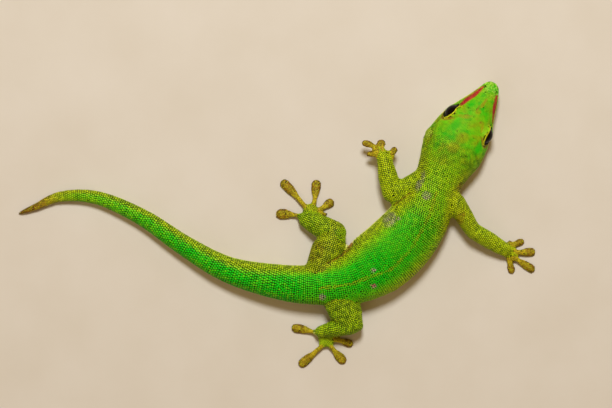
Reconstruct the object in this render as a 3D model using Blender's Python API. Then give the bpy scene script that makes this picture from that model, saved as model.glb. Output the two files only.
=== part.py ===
"""Madagascar day gecko, adult and life size, as a still museum model in metres with +Z up.

The animal lies flat on the floor at z = 0 with its snout towards +X +Y and its tail towards -X.
Its belly, its tail and three of its feet rest on the floor, and the left hand is lifted in mid step.
The origin is on the floor under the middle of the animal's bounding box.
"""

import math

import bmesh
import bpy
import numpy as np
from mathutils import Matrix, Vector

# Driving dimensions, in millimetres and degrees unless a line says otherwise
MM = 0.001
GAP = 0.3
HALF_GAP = GAP / 2

# The back line seen from above, from the snout tip to the tail tip
SPINE = [
    (87.1, 57.1),
    (83.3, 50.1),
    (78.8, 43.4),
    (72.3, 33.4),
    (66.9, 22.7),
    (61.9, 12.0),
    (56.6, 1.6),
    (48.8, -7.9),
    (39.7, -15.5),
    (28.6, -21.6),
    (14.6, -23.8),
    (-0.2, -22.6),
    (-19.7, -17.8),
    (-37.1, -8.2),
    (-53.6, 2.9),
    (-71.9, 10.9),
    (-86.8, 11.4),
    (-96.3, 7.4),
    (-104.0, 4.4),
]

# Sizes along the body, each a list of (distance from the snout tip, value)
HALF_WIDTH = [
    (0, 0.0), (0.5, 1.7), (2, 3.05), (5, 4.4), (10, 6.5), (15, 8.8), (20, 10.8), (25, 12.0),
    (31, 12.6), (36, 11.8), (41, 10.4), (46, 9.6), (52, 10.2), (60, 11.5), (68, 12.6),
    (78, 13.4), (86, 13.4), (94, 12.1), (101, 10.3), (110, 8.6), (118, 7.8), (130, 6.9),
    (150, 5.2), (170, 4.1), (190, 3.4), (210, 2.7), (225, 2.1), (236, 1.4), (242, 0.8), (244, 0.0),
]
BACK_HEIGHT = [
    (0, 6.6), (0.5, 7.6), (2, 8.5), (5, 9.5), (10, 11.1), (15, 12.7), (20, 14.0), (26, 14.9),
    (32, 15.1), (38, 14.5), (44, 14.1), (52, 15.1), (62, 16.3), (76, 17.0), (90, 16.4),
    (102, 14.8), (116, 13.0), (130, 11.5), (150, 9.3), (170, 7.5), (190, 6.3), (210, 5.1),
    (225, 4.0), (236, 2.9), (242, 1.9), (244, 1.0),
]
UNDERSIDE_HEIGHT = [
    (0, 6.4), (0.5, 5.3), (2, 4.4), (5, 3.7), (10, 3.1), (20, 2.4), (30, 2.0), (38, 1.6),
    (46, 1.0), (54, 0.2), (62, -0.6), (90, -0.8), (116, -0.6), (150, -0.5), (190, -0.4),
    (225, -0.3), (236, -0.2), (242, 0.0), (244, 0.9),
]
ROLL = [(0, 4), (38, 4), (60, 9), (84, 13), (100, 11), (120, 7), (150, 3), (175, 0), (244, 0)]
CROWN_TAPER = [(0, 0.1), (8, 0.22), (20, 0.28), (32, 0.2), (46, 0.1), (80, 0.06), (120, 0.04), (244, 0.0)]
BODY_LENGTH = 244.0
WIDEST_SHARE = 0.38
FULLNESS = 2.3

# Where the body is parted, as distances from the snout tip
HEAD_END = 38.0
NECK_END = 47.0
TORSO_END = 116.0
TAIL_BASE_END = 150.0
TAIL_MIDDLE_END = 192.0

# Head features
EYE_DISTANCE = 19.9
EYE_OUT = 6.8
EYE_HEIGHT = 8.7
EYE_RADIUS = 3.8
EYE_ELEVATION = 24.0
EYE_FORWARD = {1: 14.0, -1: 8.0}
LID_RADIUS = 4.35
LID_OPENING = (3.6, 2.85)
EAR_DISTANCE = 32.0
EAR_ANGLE = -6.0
EAR_SIZE = (1.0, 1.2, 1.9)
NOSTRIL_DISTANCE = 3.3
NOSTRIL_ANGLE = 36.0
NOSTRIL_RADIUS = 0.5
MOUTH_LINE = [(-3.0, 6.1), (0.0, 6.05), (6.0, 5.6), (13.0, 5.5), (20.0, 5.9), (25.0, 6.9)]
JAW_REAR_BOTTOM = 30.0
LIP_OUT = 0.32
LIP_TALL = 1.3
LIP_PLACES = [0.1, 0.35, 0.75, 1.3, 2.1, 3.4, 5.2, 7.6, 10.4, 13.4, 16.6, 20.0, 23.5]
LIP_SHARE = [(0, 0.6), (3, 0.75), (7, 1.0), (20, 1.0), (23.5, 0.45)]
SNOUT_ROUND = 2.5

# Digits: half width of the shaft, then height of the middle and half height as (share of length, size)
SHAFT_HALF_WIDTH = 0.95
PAD_BEGINS = 0.38
PAD_FULL = 0.72
DIGIT_RISE = [(0, 1.5), (0.25, 1.7), (0.5, 1.25), (0.7, 0.65), (1, 0.5)]
DIGIT_HALF_HEIGHT = [(0, 1.1), (0.4, 0.9), (0.65, 0.8), (0.85, 0.75), (1, 0.4)]
STUB_PAD = 1.0
STUB_HEIGHT_SHARE = 0.75

# Each limb: the stretch of body that it leaves, joints as (x, y, z), then half width and half height at
# the start, middle and end of the length above the elbow or knee and of the length below it, then the
# palm and the digits. A parting is the place and the level direction of the cut at a joint, where it
# isn't the mitre. A digit is (root x, y, middle x, y, tip x, y, pad half width), from the first, a stub,
# to the fifth.
LIMBS = {
    "front_left": {
        "body": (35.0, 71.0),
        "names": ("upper_arm", "forearm", "hand"),
        "joints": [(57.4, 18.0, 8.0), (46.1, 12.6, 7.4), (43.2, 25.6, 8.2)],
        "upper": [(4.3, 4.2), (3.6, 3.8), (3.8, 3.7)],
        "lower": [(3.9, 3.7), (4.0, 3.6), (3.1, 2.4)],
        "palm": (43.2, 27.7, 7.4),
        "palm_size": (3.3, 2.4, 1.5),
        "lift": 5.9,
        "digits": [
            (45.8, 26.6, 46.6, 26.8, 47.6, 27.1, 0.6),
            (45.0, 27.0, 46.3, 28.6, 47.6, 31.2, 1.4),
            (43.0, 28.4, 42.1, 31.0, 41.7, 34.1, 1.75),
            (41.2, 28.4, 38.4, 31.7, 34.3, 33.0, 1.35),
            (41.0, 27.2, 38.8, 28.2, 36.2, 28.5, 1.2),
        ],
    },
    "front_right": {
        "body": (35.0, 71.0),
        "names": ("upper_arm", "forearm", "hand"),
        "joints": [(71.8, 8.8, 7.4), (78.5, -2.2, 5.6), (91.4, -9.9, 3.2)],
        "upper": [(4.0, 4.2), (3.7, 3.9), (3.3, 3.6)],
        "lower": [(3.4, 3.6), (3.45, 3.4), (2.85, 2.4)],
        "palm": (93.0, -10.6, 1.5),
        "palm_size": (2.3, 3.1, 1.6),
        "lift": 0.0,
        "digits": [
            (91.9, -8.0, 93.0, -7.1, 94.1, -6.2, 0.6),
            (92.6, -8.6, 95.8, -7.6, 99.3, -6.4, 1.4),
            (93.8, -10.4, 98.2, -11.0, 103.8, -10.8, 1.7),
            (93.6, -12.0, 98.0, -14.8, 103.6, -18.4, 1.65),
            (92.5, -12.6, 93.6, -15.3, 94.6, -19.4, 1.45),
        ],
    },
    "hind_left": {
        "body": (82.0, 134.0),
        "names": ("thigh", "shin", "foot"),
        "joints": [(17.8, -17.5, 7.0), (23.3, -3.1, 6.4), (12.2, 2.0, 3.4)],
        "upper": [(6.2, 5.2), (6.8, 5.0), (4.9, 4.4)],
        "lower": [(4.8, 4.4), (4.6, 4.0), (3.5, 2.8)],
        "palm": (13.6, 5.2, 1.5),
        "palm_size": (3.2, 3.3, 1.7),
        "lift": 0.0,
        "digits": [
            (16.2, 4.8, 18.2, 4.5, 20.2, 4.2, 0.65),
            (16.4, 5.6, 19.3, 7.5, 22.8, 9.7, 1.75),
            (14.8, 6.8, 15.5, 12.0, 16.1, 18.0, 1.9),
            (11.8, 7.0, 7.6, 12.0, 2.0, 17.7, 1.9),
            (10.8, 3.4, 5.8, 4.2, -0.2, 4.4, 2.05),
        ],
    },
    "hind_right": {
        "body": (82.0, 134.0),
        "names": ("thigh", "shin", "foot"),
        "joints": [(25.4, -30.0, 6.8), (29.9, -40.1, 6.0), (17.6, -42.7, 3.6)],
        "upper": [(6.8, 4.8), (6.7, 4.8), (5.0, 4.3)],
        "lower": [(3.9, 4.3), (3.4, 3.7), (2.4, 2.4)],
        "parting": (28.6, -40.4, -21.0),
        "palm": (19.8, -46.2, 1.5),
        "palm_size": (3.2, 2.8, 1.6),
        "lift": 0.0,
        "digits": [
            (22.0, -45.4, 23.8, -45.1, 25.4, -44.9, 0.6),
            (22.2, -46.0, 26.2, -46.6, 30.6, -48.1, 1.55),
            (21.0, -47.6, 23.6, -51.0, 27.4, -55.4, 1.85),
            (18.8, -48.0, 14.4, -52.0, 9.2, -56.6, 1.8),
            (17.6, -44.2, 13.0, -42.4, 6.1, -41.2, 1.75),
        ],
    },
}

# How finely the lofts are divided
BODY_AROUND = 32
HEAD_AROUND = 36
LIMB_AROUND = 18
DIGIT_AROUND = 10
EYE_AROUND = 20
EYE_RINGS = 14
LIP_AROUND = 8
SPINE_SAMPLES = 40
HEAD_STEP = 1.7
NECK_STEP = 3.0
BODY_STEP = 4.0
TAIL_STEP = 4.2
SNOUT_PLACES = [0.12, 0.5, 1.1, 2.0, 3.2]
SNOUT_EVEN_FROM = 4.0
TAIL_EVEN_TO = 239.0
TAIL_TIP_PLACES = [240.5, 242.4, 243.5, 243.9]
CAP_ANGLES = (12, 35, 62)

# Colours as linear red, green, blue, then roughness
FINISHES = {
    "green_skin": ((0.11, 0.42, 0.01), 0.55),
    "limb_skin": ((0.28, 0.36, 0.02), 0.6),
    "eye": ((0.012, 0.008, 0.006), 0.08),
}


def smooth_value(table, at):
    """A value read from a list of (distance, value) pairs along a curve that never overshoots them."""
    xs = [row[0] for row in table]
    ys = [row[1] for row in table]
    at = min(max(at, xs[0]), xs[-1])
    i = min(max(sum(x <= at for x in xs) - 1, 0), len(xs) - 2)
    slopes = [(ys[k + 1] - ys[k]) / (xs[k + 1] - xs[k]) for k in range(len(xs) - 1)]

    def tangent(k):
        if k in (0, len(xs) - 1):
            return slopes[min(k, len(slopes) - 1)]
        before, after = slopes[k - 1], slopes[k]
        if before * after <= 0:
            return 0.0
        return 2 * before * after / (before + after)

    span = xs[i + 1] - xs[i]
    t = (at - xs[i]) / span
    start = (1 + 2 * t) * (1 - t) ** 2 * ys[i] + t * (1 - t) ** 2 * span * tangent(i)
    end = t * t * (3 - 2 * t) * ys[i + 1] + t * t * (t - 1) * span * tangent(i + 1)
    return start + end


def spline_point(points, t):
    """A point of the Catmull Rom curve through points, with t counted in points."""
    last = len(points) - 1
    i = min(int(t), last - 1)
    f = t - i
    p1, p2 = Vector(points[i]), Vector(points[i + 1])
    p0 = Vector(points[i - 1]) if i > 0 else 2 * p1 - p2
    p3 = Vector(points[i + 2]) if i + 2 <= last else 2 * p2 - p1
    bend = 2 * p0 - 5 * p1 + 4 * p2 - p3
    twist = 3 * p1 - 3 * p2 + p3 - p0
    return p1 + 0.5 * f * ((p2 - p0) + f * (bend + f * twist))


def spine_table():
    """Samples of the back line with the distance of each, stretched to the body's length."""
    count = SPINE_SAMPLES * (len(SPINE) - 1)
    points = [spline_point(SPINE, k / SPINE_SAMPLES) for k in range(count + 1)]
    distance = [0.0]
    for a, b in zip(points, points[1:]):
        distance.append(distance[-1] + (b - a).length)
    scale = BODY_LENGTH / distance[-1]
    return np.array(points), np.array(distance) * scale


SPINE_POINTS, SPINE_DISTANCES = spine_table()


def spine_at(distance):
    """The back line's point and its direction towards the tail, both flat, at a distance from the snout."""
    reach = 0.6

    def flat(d):
        return Vector([np.interp(d, SPINE_DISTANCES, SPINE_POINTS[:, k]) for k in (0, 1)])

    inside = min(max(distance, 0.0), BODY_LENGTH)
    near, far = max(inside - reach, 0.0), min(inside + reach, BODY_LENGTH)
    along = (flat(far) - flat(near)).normalized()
    return flat(inside) + along * (distance - inside), along


def widest_height(distance):
    low, high = smooth_value(UNDERSIDE_HEIGHT, distance), smooth_value(BACK_HEIGHT, distance)
    return low + WIDEST_SHARE * (high - low)


def body_point(distance, left, height):
    """The place of a point given by distance from the snout, offset to the left, and height, rolled."""
    centre, along = spine_at(distance)
    pivot = widest_height(distance)
    roll = math.radians(smooth_value(ROLL, distance))
    above = height - pivot
    across = left * math.cos(roll) - above * math.sin(roll)
    up = pivot + above * math.cos(roll) + left * math.sin(roll)
    return Vector((centre.x + along.y * across, centre.y - along.x * across, up))


def section_offset(distance, angle, grow=0.0):
    """Offset to the left and height of the skin at an angle, where 0 is left and 90 degrees the back."""
    width = smooth_value(HALF_WIDTH, distance) + grow
    low = smooth_value(UNDERSIDE_HEIGHT, distance) - grow
    high = smooth_value(BACK_HEIGHT, distance) + grow
    middle = widest_height(distance)
    c, s = math.cos(angle), math.sin(angle)
    power = 2 / FULLNESS
    left = width * math.copysign(abs(c) ** power, c)
    rise = abs(s) ** power
    if s >= 0:
        left *= 1 - smooth_value(CROWN_TAPER, distance) * s * s
        return left, middle + (high - middle) * rise
    return left, middle - (middle - low) * rise


def body_ring(distance, around, grow=0.0):
    """The body's skin points at one distance, from its left side over the back to its right side."""
    angles = [2 * math.pi * k / around for k in range(around)]
    return [body_point(distance, *section_offset(distance, a, grow)) for a in angles]


def skin_point(distance, angle_degrees, side):
    """A point on the skin of one side, with side 1 for left and -1 for right, and the way it faces."""
    angle = math.radians(angle_degrees)
    left, height = section_offset(distance, angle)
    point = body_point(distance, side * left, height)
    inner = body_point(distance, 0.0, widest_height(distance))
    return point, (point - inner).normalized()


def mesh_object(name, mesh, collection, finish=None):
    obj = bpy.data.objects.new(name, mesh)
    collection.objects.link(obj)
    if finish:
        mesh.materials.append(finish)
    return obj


def loft(name, rings, collection, finish=None):
    """A closed solid through rings of points in millimetres, with a fan of faces over each end."""
    bm = bmesh.new()
    rows = [[bm.verts.new(p * MM) for p in ring] for ring in rings]
    around = len(rows[0])
    for near, far in zip(rows, rows[1:]):
        for k in range(around):
            n = (k + 1) % around
            bm.faces.new((near[k], far[k], far[n], near[n]))
    for row in (rows[0], rows[-1]):
        middle = sum((v.co for v in row), Vector()) / around
        centre = bm.verts.new(middle)
        for k in range(around):
            bm.faces.new((row[k], row[(k + 1) % around], centre))
    bmesh.ops.recalc_face_normals(bm, faces=bm.faces)
    mesh = bpy.data.meshes.new(name)
    bm.to_mesh(mesh)
    bm.free()
    return mesh_object(name, mesh, collection, finish)


def ellipsoid(name, centre, axes, sizes, collection, segments=16, rings=10):
    """A closed ellipsoid with its half sizes along three directions."""
    bm = bmesh.new()
    bmesh.ops.create_uvsphere(bm, u_segments=segments, v_segments=rings, radius=1.0)
    turn = Matrix([Vector(a) * s for a, s in zip(axes, sizes)]).transposed().to_4x4()
    bmesh.ops.transform(bm, matrix=Matrix.Translation(Vector(centre)) @ turn, verts=bm.verts)
    bmesh.ops.scale(bm, vec=(MM, MM, MM), verts=bm.verts)
    bmesh.ops.recalc_face_normals(bm, faces=bm.faces)
    mesh = bpy.data.meshes.new(name)
    bm.to_mesh(mesh)
    bm.free()
    return mesh_object(name, mesh, collection)


def apply_modifiers(obj):
    bpy.context.view_layer.update()
    graph = bpy.context.evaluated_depsgraph_get()
    mesh = bpy.data.meshes.new_from_object(obj.evaluated_get(graph))
    obj.modifiers.clear()
    obj.data = mesh


def combine(obj, others, operation):
    """One Boolean on a collection of closed meshes, applied, after which those meshes are removed."""
    group = bpy.data.collections.new(obj.name + "_" + operation.lower())
    bpy.context.scene.collection.children.link(group)
    for other in others:
        for owner in list(other.users_collection):
            owner.objects.unlink(other)
        group.objects.link(other)
    modifier = obj.modifiers.new(operation.lower(), "BOOLEAN")
    modifier.operation = operation
    modifier.operand_type = "COLLECTION"
    modifier.collection = group
    modifier.solver = "EXACT"
    apply_modifiers(obj)
    for other in list(group.objects):
        bpy.data.objects.remove(other)
    bpy.data.collections.remove(group)


def keep_largest(bm):
    """Deletes every closed surface of a mesh but the one that reaches furthest."""
    unseen = set(bm.verts)
    pieces = []
    while unseen:
        stack = [unseen.pop()]
        piece = set(stack)
        while stack:
            for edge in stack.pop().link_edges:
                for vert in edge.verts:
                    if vert in unseen:
                        unseen.remove(vert)
                        piece.add(vert)
                        stack.append(vert)
        pieces.append(piece)

    def reach(piece):
        low = Vector([min(v.co[k] for v in piece) for k in range(3)])
        high = Vector([max(v.co[k] for v in piece) for k in range(3)])
        return (high - low).length

    pieces.sort(key=reach)
    scraps = [v for piece in pieces[:-1] for v in piece]
    bmesh.ops.delete(bm, geom=scraps, context="VERTS")


def clip(obj, point, normal):
    """Cuts a solid at a plane, keeps the side that the normal points to, and closes the cut."""
    bm = bmesh.new()
    bm.from_mesh(obj.data)
    geometry = bm.verts[:] + bm.edges[:] + bm.faces[:]
    cut = bmesh.ops.bisect_plane(
        bm, geom=geometry, dist=1e-7, plane_co=Vector(point) * MM, plane_no=normal, clear_inner=True
    )
    rim = [e for e in cut["geom_cut"] if isinstance(e, bmesh.types.BMEdge) and e.is_boundary]
    if rim:
        bmesh.ops.holes_fill(bm, edges=rim, sides=0)
    bmesh.ops.triangulate(bm, faces=[f for f in bm.faces if len(f.verts) > 4])
    keep_largest(bm)
    bmesh.ops.recalc_face_normals(bm, faces=bm.faces)
    bm.to_mesh(obj.data)
    bm.free()


def rest_on_floor(obj):
    clip(obj, (0, 0, 0), (0, 0, 1))


def tidy(obj):
    """Keeps the largest closed surface, welds doubles and shades the solid smooth."""
    bm = bmesh.new()
    bm.from_mesh(obj.data)
    bmesh.ops.remove_doubles(bm, verts=bm.verts, dist=2e-5)
    keep_largest(bm)
    bmesh.ops.recalc_face_normals(bm, faces=bm.faces)
    bm.to_mesh(obj.data)
    bm.free()
    obj.data.shade_smooth()


def steps(start, end, step):
    count = max(2, round((end - start) / step))
    return [start + (end - start) * k / count for k in range(count + 1)]


def body_length(name, start, end, step, around, collection, finish, grow=0.0):
    """One length of the body between two distances, as a loft of its sections."""
    distances = steps(start, end, step)
    if start <= 0:
        distances = SNOUT_PLACES + [d for d in distances if d > SNOUT_EVEN_FROM]
    if end >= BODY_LENGTH:
        distances = [d for d in distances if d < TAIL_EVEN_TO] + TAIL_TIP_PLACES
    rings = [body_ring(d, around, grow) for d in distances]
    return loft(name, rings, collection, finish)


def eye_frame(side):
    """The eyeball's centre and its outward, forward and upward directions on one side."""
    centre = body_point(EYE_DISTANCE, side * EYE_OUT, EYE_HEIGHT)
    outward = (body_point(EYE_DISTANCE, side * (EYE_OUT + 1), EYE_HEIGHT) - centre).normalized()
    upward = (body_point(EYE_DISTANCE, side * EYE_OUT, EYE_HEIGHT + 1) - centre).normalized()
    ahead = -spine_at(EYE_DISTANCE)[1].to_3d()
    rise, turn = math.radians(EYE_ELEVATION), math.radians(EYE_FORWARD[side])
    look = outward * math.cos(rise) + upward * math.sin(rise)
    look = (look * math.cos(turn) + ahead * math.sin(turn)).normalized()
    top = (upward - look * upward.dot(look)).normalized()
    return centre, look, top.cross(look).normalized(), top


def lid_opening(side, collection):
    """The almond through which the eye shows, as a short elliptic drum along the way the eye looks."""
    centre, look, forward, top = eye_frame(side)
    long_half, high_half = LID_OPENING
    inner, outer = 1.2, 7.0
    angles = [2 * math.pi * k / EYE_AROUND for k in range(EYE_AROUND)]
    rings = []
    for out in (inner, outer):
        rings.append([
            centre + look * out + forward * long_half * math.cos(a) + top * high_half * math.sin(a)
            for a in angles
        ])
    return loft("lid_opening", rings, collection)


def angle_at_height(distance, height):
    """The angle at which the skin of a section is at a height, found by halving the range."""
    low, high = -math.pi / 2, math.pi / 2
    for _ in range(30):
        middle = (low + high) / 2
        if section_offset(distance, middle)[1] < height:
            low = middle
        else:
            high = middle
    return low


def lip_roll(collection):
    """A low roll that follows the mouth line round the snout, which the mouth line then parts in two lips."""
    stations = [(d, 1) for d in reversed(LIP_PLACES)] + [(d, -1) for d in LIP_PLACES]
    rings = []
    for distance, side in stations:
        angle = angle_at_height(distance, smooth_value(MOUTH_LINE, distance))
        skin, facing = skin_point(distance, math.degrees(angle), side)
        along = spine_at(distance)[1].to_3d()
        turned = max(0.0, 1 - distance / SNOUT_ROUND)
        facing = (facing * (1 - turned) - along * turned).normalized()
        size = smooth_value(LIP_SHARE, distance)
        out, up = facing * LIP_OUT * size, Vector((0, 0, LIP_TALL * size))
        around = [2 * math.pi * k / LIP_AROUND for k in range(LIP_AROUND)]
        rings.append([skin + out * math.cos(a) + up * math.sin(a) for a in around])
    return loft("lip_roll", rings, collection)


def jaw_block(grow, collection):
    """The space under the mouth line, grown on the side of the upper head, as a loft of four sided rings."""
    reach, depth = 20.0, -12.0
    slope_start, slope_end = MOUTH_LINE[-2][0], MOUTH_LINE[-1][0]
    rings = []
    for distance, height in MOUTH_LINE:
        share = max(0.0, (distance - slope_start) / (slope_end - slope_start))
        below = distance + share * (JAW_REAR_BOTTOM - slope_end)
        top, rear = height + grow, grow * share
        rings.append([
            body_point(distance + rear, reach, top),
            body_point(distance + rear, -reach, top),
            body_point(below + rear, -reach, depth),
            body_point(below + rear, reach, depth),
        ])
    return loft("jaw_block", rings, collection)


def make_head(parts, cutters, finishes):
    """The upper head with lids, ears and nostrils, the lower jaw under the mouth line, and the eyes."""
    skin = finishes["green_skin"]
    whole = body_length("head", 0.0, HEAD_END - HALF_GAP, HEAD_STEP, HEAD_AROUND, parts, skin)
    lids, hollows = [lip_roll(cutters)], []
    for side in (1, -1):
        centre, look, forward, top = eye_frame(side)
        axes = (look, forward, top)
        parted = [EYE_RADIUS + GAP] * 3
        lids.append(ellipsoid("lid", centre, axes, [LID_RADIUS] * 3, cutters, EYE_AROUND, EYE_RINGS))
        hollows.append(ellipsoid("socket", centre, axes, parted, cutters, EYE_AROUND, EYE_RINGS))
        hollows.append(lid_opening(side, cutters))
        ear, facing = skin_point(EAR_DISTANCE, EAR_ANGLE, side)
        along = spine_at(EAR_DISTANCE)[1].to_3d()
        upright = facing.cross(along).normalized()
        hollows.append(ellipsoid("ear", ear, (along, facing, upright), EAR_SIZE, cutters, 12, 8))
        nostril, facing = skin_point(NOSTRIL_DISTANCE, NOSTRIL_ANGLE, side)
        upright = facing.cross(along).normalized()
        sizes = [NOSTRIL_RADIUS] * 3
        hollows.append(ellipsoid("nostril", nostril, (along, facing, upright), sizes, cutters, 8, 6))
    combine(whole, lids, "UNION")
    combine(whole, hollows, "DIFFERENCE")
    jaw = mesh_object("lower_jaw", whole.data.copy(), parts)
    combine(jaw, [jaw_block(-HALF_GAP, cutters)], "INTERSECT")
    combine(whole, [jaw_block(HALF_GAP, cutters)], "DIFFERENCE")
    for obj in (whole, jaw):
        tidy(obj)
    for side, label in ((1, "eye_left"), (-1, "eye_right")):
        centre, look, forward, top = eye_frame(side)
        axes = (forward, top, look)
        eye = ellipsoid(label, centre, axes, [EYE_RADIUS] * 3, parts, EYE_AROUND, EYE_RINGS)
        eye.data.materials.append(finishes["eye"])
        eye.data.shade_smooth()


def make_trunk(parts, finishes):
    """The neck, the torso and the three lengths of the tail."""
    skin = finishes["green_skin"]
    lengths = [
        ("neck", HEAD_END, NECK_END, NECK_STEP),
        ("torso", NECK_END, TORSO_END, BODY_STEP),
        ("tail_base", TORSO_END, TAIL_BASE_END, TAIL_STEP),
        ("tail_middle", TAIL_BASE_END, TAIL_MIDDLE_END, TAIL_STEP),
        ("tail_end", TAIL_MIDDLE_END, BODY_LENGTH + HALF_GAP, TAIL_STEP),
    ]
    for name, start, end, step in lengths:
        obj = body_length(name, start + HALF_GAP, end - HALF_GAP, step, BODY_AROUND, parts, skin)
        rest_on_floor(obj)
        tidy(obj)


def capsule(name, start, end, sizes, collection, finish=None, grow=0.0):
    """A limb segment with an egg round end at each joint, and its sizes at its start, middle and end."""
    start, end = Vector(start), Vector(end)
    along = (end - start).normalized()
    side = Vector((0, 0, 1)).cross(along).normalized()
    up = along.cross(side)
    cap = [math.radians(a) for a in CAP_ANGLES]
    stations = [(0.0, -math.cos(a), math.sin(a)) for a in cap]
    stations += [(share, 0.0, 1.0) for share in (0.0, 0.25, 0.5, 0.75, 1.0)]
    stations += [(1.0, math.cos(a), math.sin(a)) for a in reversed(cap)]
    rings = []
    for share, ahead, round_share in stations:
        wide, high = [
            smooth_value([(k / 2, size[axis]) for k, size in enumerate(sizes)], share) + grow
            for axis in (0, 1)
        ]
        middle = start.lerp(end, share) + along * ahead * wide
        ring = []
        for k in range(LIMB_AROUND):
            angle = 2 * math.pi * k / LIMB_AROUND
            across = side * math.cos(angle) * wide * round_share
            ring.append(middle + across + up * math.sin(angle) * high * round_share)
        rings.append(ring)
    return loft(name, rings, collection, finish)


def digit_width(share, length, pad):
    """Half width of a digit: an even shaft that widens to the pad, and a round tip."""
    widen = min(max((share - PAD_BEGINS) / (PAD_FULL - PAD_BEGINS), 0.0), 1.0)
    shaft = SHAFT_HALF_WIDTH if pad > STUB_PAD else pad
    width = shaft + (pad - shaft) * widen * widen * (3 - 2 * widen)
    to_tip = (1 - share) * length
    if to_tip < pad:
        width *= math.sqrt(max(1 - (1 - to_tip / pad) ** 2, 0.0))
    return width


def digit(name, places, pad, lift, collection):
    """One finger or toe: a slim shaft that rises off the palm and a flat pad laid on the floor."""
    points = [Vector((places[k], places[k + 1])) for k in (0, 2, 4)]
    length = (points[1] - points[0]).length + (points[2] - points[1]).length
    stub = pad < STUB_PAD
    round_from = 1 - pad / length
    shares = [0.0, 0.4] if stub else [0.0, 0.22, 0.4, 0.54, 0.66]
    shares += [round_from + part * (1 - round_from) for part in (0.0, 0.5, 0.8, 0.97)]
    reach = 0.04
    rings = []
    for share in sorted(shares):
        flat = spline_point(points, 2 * share)
        ahead = spline_point(points, 2 * min(share + reach, 1)) - spline_point(points, 2 * (share - reach))
        side = Vector((-ahead.y, ahead.x, 0)).normalized()
        width = digit_width(share, length, pad)
        high = smooth_value(DIGIT_HALF_HEIGHT, share) * (STUB_HEIGHT_SHARE if stub else 1.0)
        centre = Vector((flat.x, flat.y, smooth_value(DIGIT_RISE, share) + lift))
        ring = []
        for k in range(DIGIT_AROUND):
            angle = 2 * math.pi * k / DIGIT_AROUND
            ring.append(centre + side * width * math.cos(angle) + Vector((0, 0, high * math.sin(angle))))
        rings.append(ring)
    return loft(name, rings, collection)


def parting_plane(limb):
    """The middle and the normal, towards the hand or foot, of the cut at the elbow or knee."""
    root, bend, end = [Vector(p) for p in limb["joints"]]
    mitre = (bend - root).normalized() + (end - bend).normalized()
    mitre.z = 0
    if "parting" not in limb:
        return bend, mitre.normalized()
    x, y, angle = limb["parting"]
    angle = math.radians(angle - 90)
    normal = Vector((math.cos(angle), math.sin(angle), 0))
    return Vector((x, y, bend.z)), normal * math.copysign(1, normal.dot(mitre))


def make_limb(key, limb, parts, cutters, finishes):
    """A limb in three nodes: the one at the body, the one past the elbow or knee, and the hand or foot."""
    skin = finishes["limb_skin"]
    names = [f"{key}_{word}" for word in limb["names"]]
    root, bend, end = limb["joints"]
    upper = capsule(names[0], root, bend, limb["upper"], parts, skin)
    lower = capsule(names[1], bend, end, limb["lower"], parts, skin)

    def trunk():
        return body_length("trunk", *limb["body"], BODY_STEP, BODY_AROUND, cutters, None, GAP)

    def sleeve(above):
        a, b, sizes = (root, bend, limb["upper"]) if above else (bend, end, limb["lower"])
        return capsule("sleeve", a, b, sizes, cutters, None, GAP)

    middle, normal = parting_plane(limb)
    clip(upper, middle - normal * HALF_GAP, -normal)
    clip(lower, middle + normal * HALF_GAP, normal)
    for obj in (upper, lower):
        combine(obj, [trunk()], "DIFFERENCE")
    level = ((1, 0, 0), (0, 1, 0), (0, 0, 1))
    foot = ellipsoid(names[2], limb["palm"], level, limb["palm_size"], parts, 16, 8)
    foot.data.materials.append(skin)
    fingers = [digit("digit", row[:6], row[6], limb["lift"], cutters) for row in limb["digits"]]
    combine(foot, fingers, "UNION")
    combine(foot, [sleeve(True), sleeve(False)], "DIFFERENCE")
    for obj in (upper, lower, foot):
        rest_on_floor(obj)
        tidy(obj)


def make_finish(name, colour, roughness):
    material = bpy.data.materials.new(name)
    material.use_nodes = True
    shader = material.node_tree.nodes["Principled BSDF"]
    shader.inputs["Base Color"].default_value = (*colour, 1.0)
    shader.inputs["Roughness"].default_value = roughness
    shader.inputs["Metallic"].default_value = 0.0
    return material


def main():
    for obj in list(bpy.data.objects):
        bpy.data.objects.remove(obj)
    parts = bpy.data.collections.new("day_gecko")
    cutters = bpy.data.collections.new("cutters")
    for collection in (parts, cutters):
        bpy.context.scene.collection.children.link(collection)
    finishes = {name: make_finish(name, *values) for name, values in FINISHES.items()}
    make_head(parts, cutters, finishes)
    make_trunk(parts, finishes)
    for key, limb in LIMBS.items():
        make_limb(key, limb, parts, cutters, finishes)


main()
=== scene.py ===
"""Looks of the life size day gecko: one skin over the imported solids, its scales, its eyes, light and camera."""

import math
from itertools import product

import bmesh
import bpy
import numpy as np
from mathutils import Matrix, Vector
from mathutils.bvhtree import BVHTree
from mathutils.kdtree import KDTree


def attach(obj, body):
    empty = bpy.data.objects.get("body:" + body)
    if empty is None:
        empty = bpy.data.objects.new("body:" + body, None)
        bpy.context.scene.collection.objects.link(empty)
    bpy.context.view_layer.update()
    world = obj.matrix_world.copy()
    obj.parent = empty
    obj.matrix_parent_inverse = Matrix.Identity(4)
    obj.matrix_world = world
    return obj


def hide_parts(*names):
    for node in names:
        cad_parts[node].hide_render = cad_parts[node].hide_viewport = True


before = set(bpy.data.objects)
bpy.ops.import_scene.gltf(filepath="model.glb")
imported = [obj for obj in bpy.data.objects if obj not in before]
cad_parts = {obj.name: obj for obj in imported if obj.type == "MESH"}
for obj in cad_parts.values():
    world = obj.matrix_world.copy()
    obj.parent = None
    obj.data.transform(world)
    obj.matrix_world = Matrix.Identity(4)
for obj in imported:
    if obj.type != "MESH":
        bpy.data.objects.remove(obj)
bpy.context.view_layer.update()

# Lengths are millimetres in the tables and metres in the meshes. Side 1 is the animal's left, and -1 its right
MM = 0.001
SIDES = (1, -1)
UPRIGHT = np.array([0.0, 0.0, 1.0])

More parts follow.
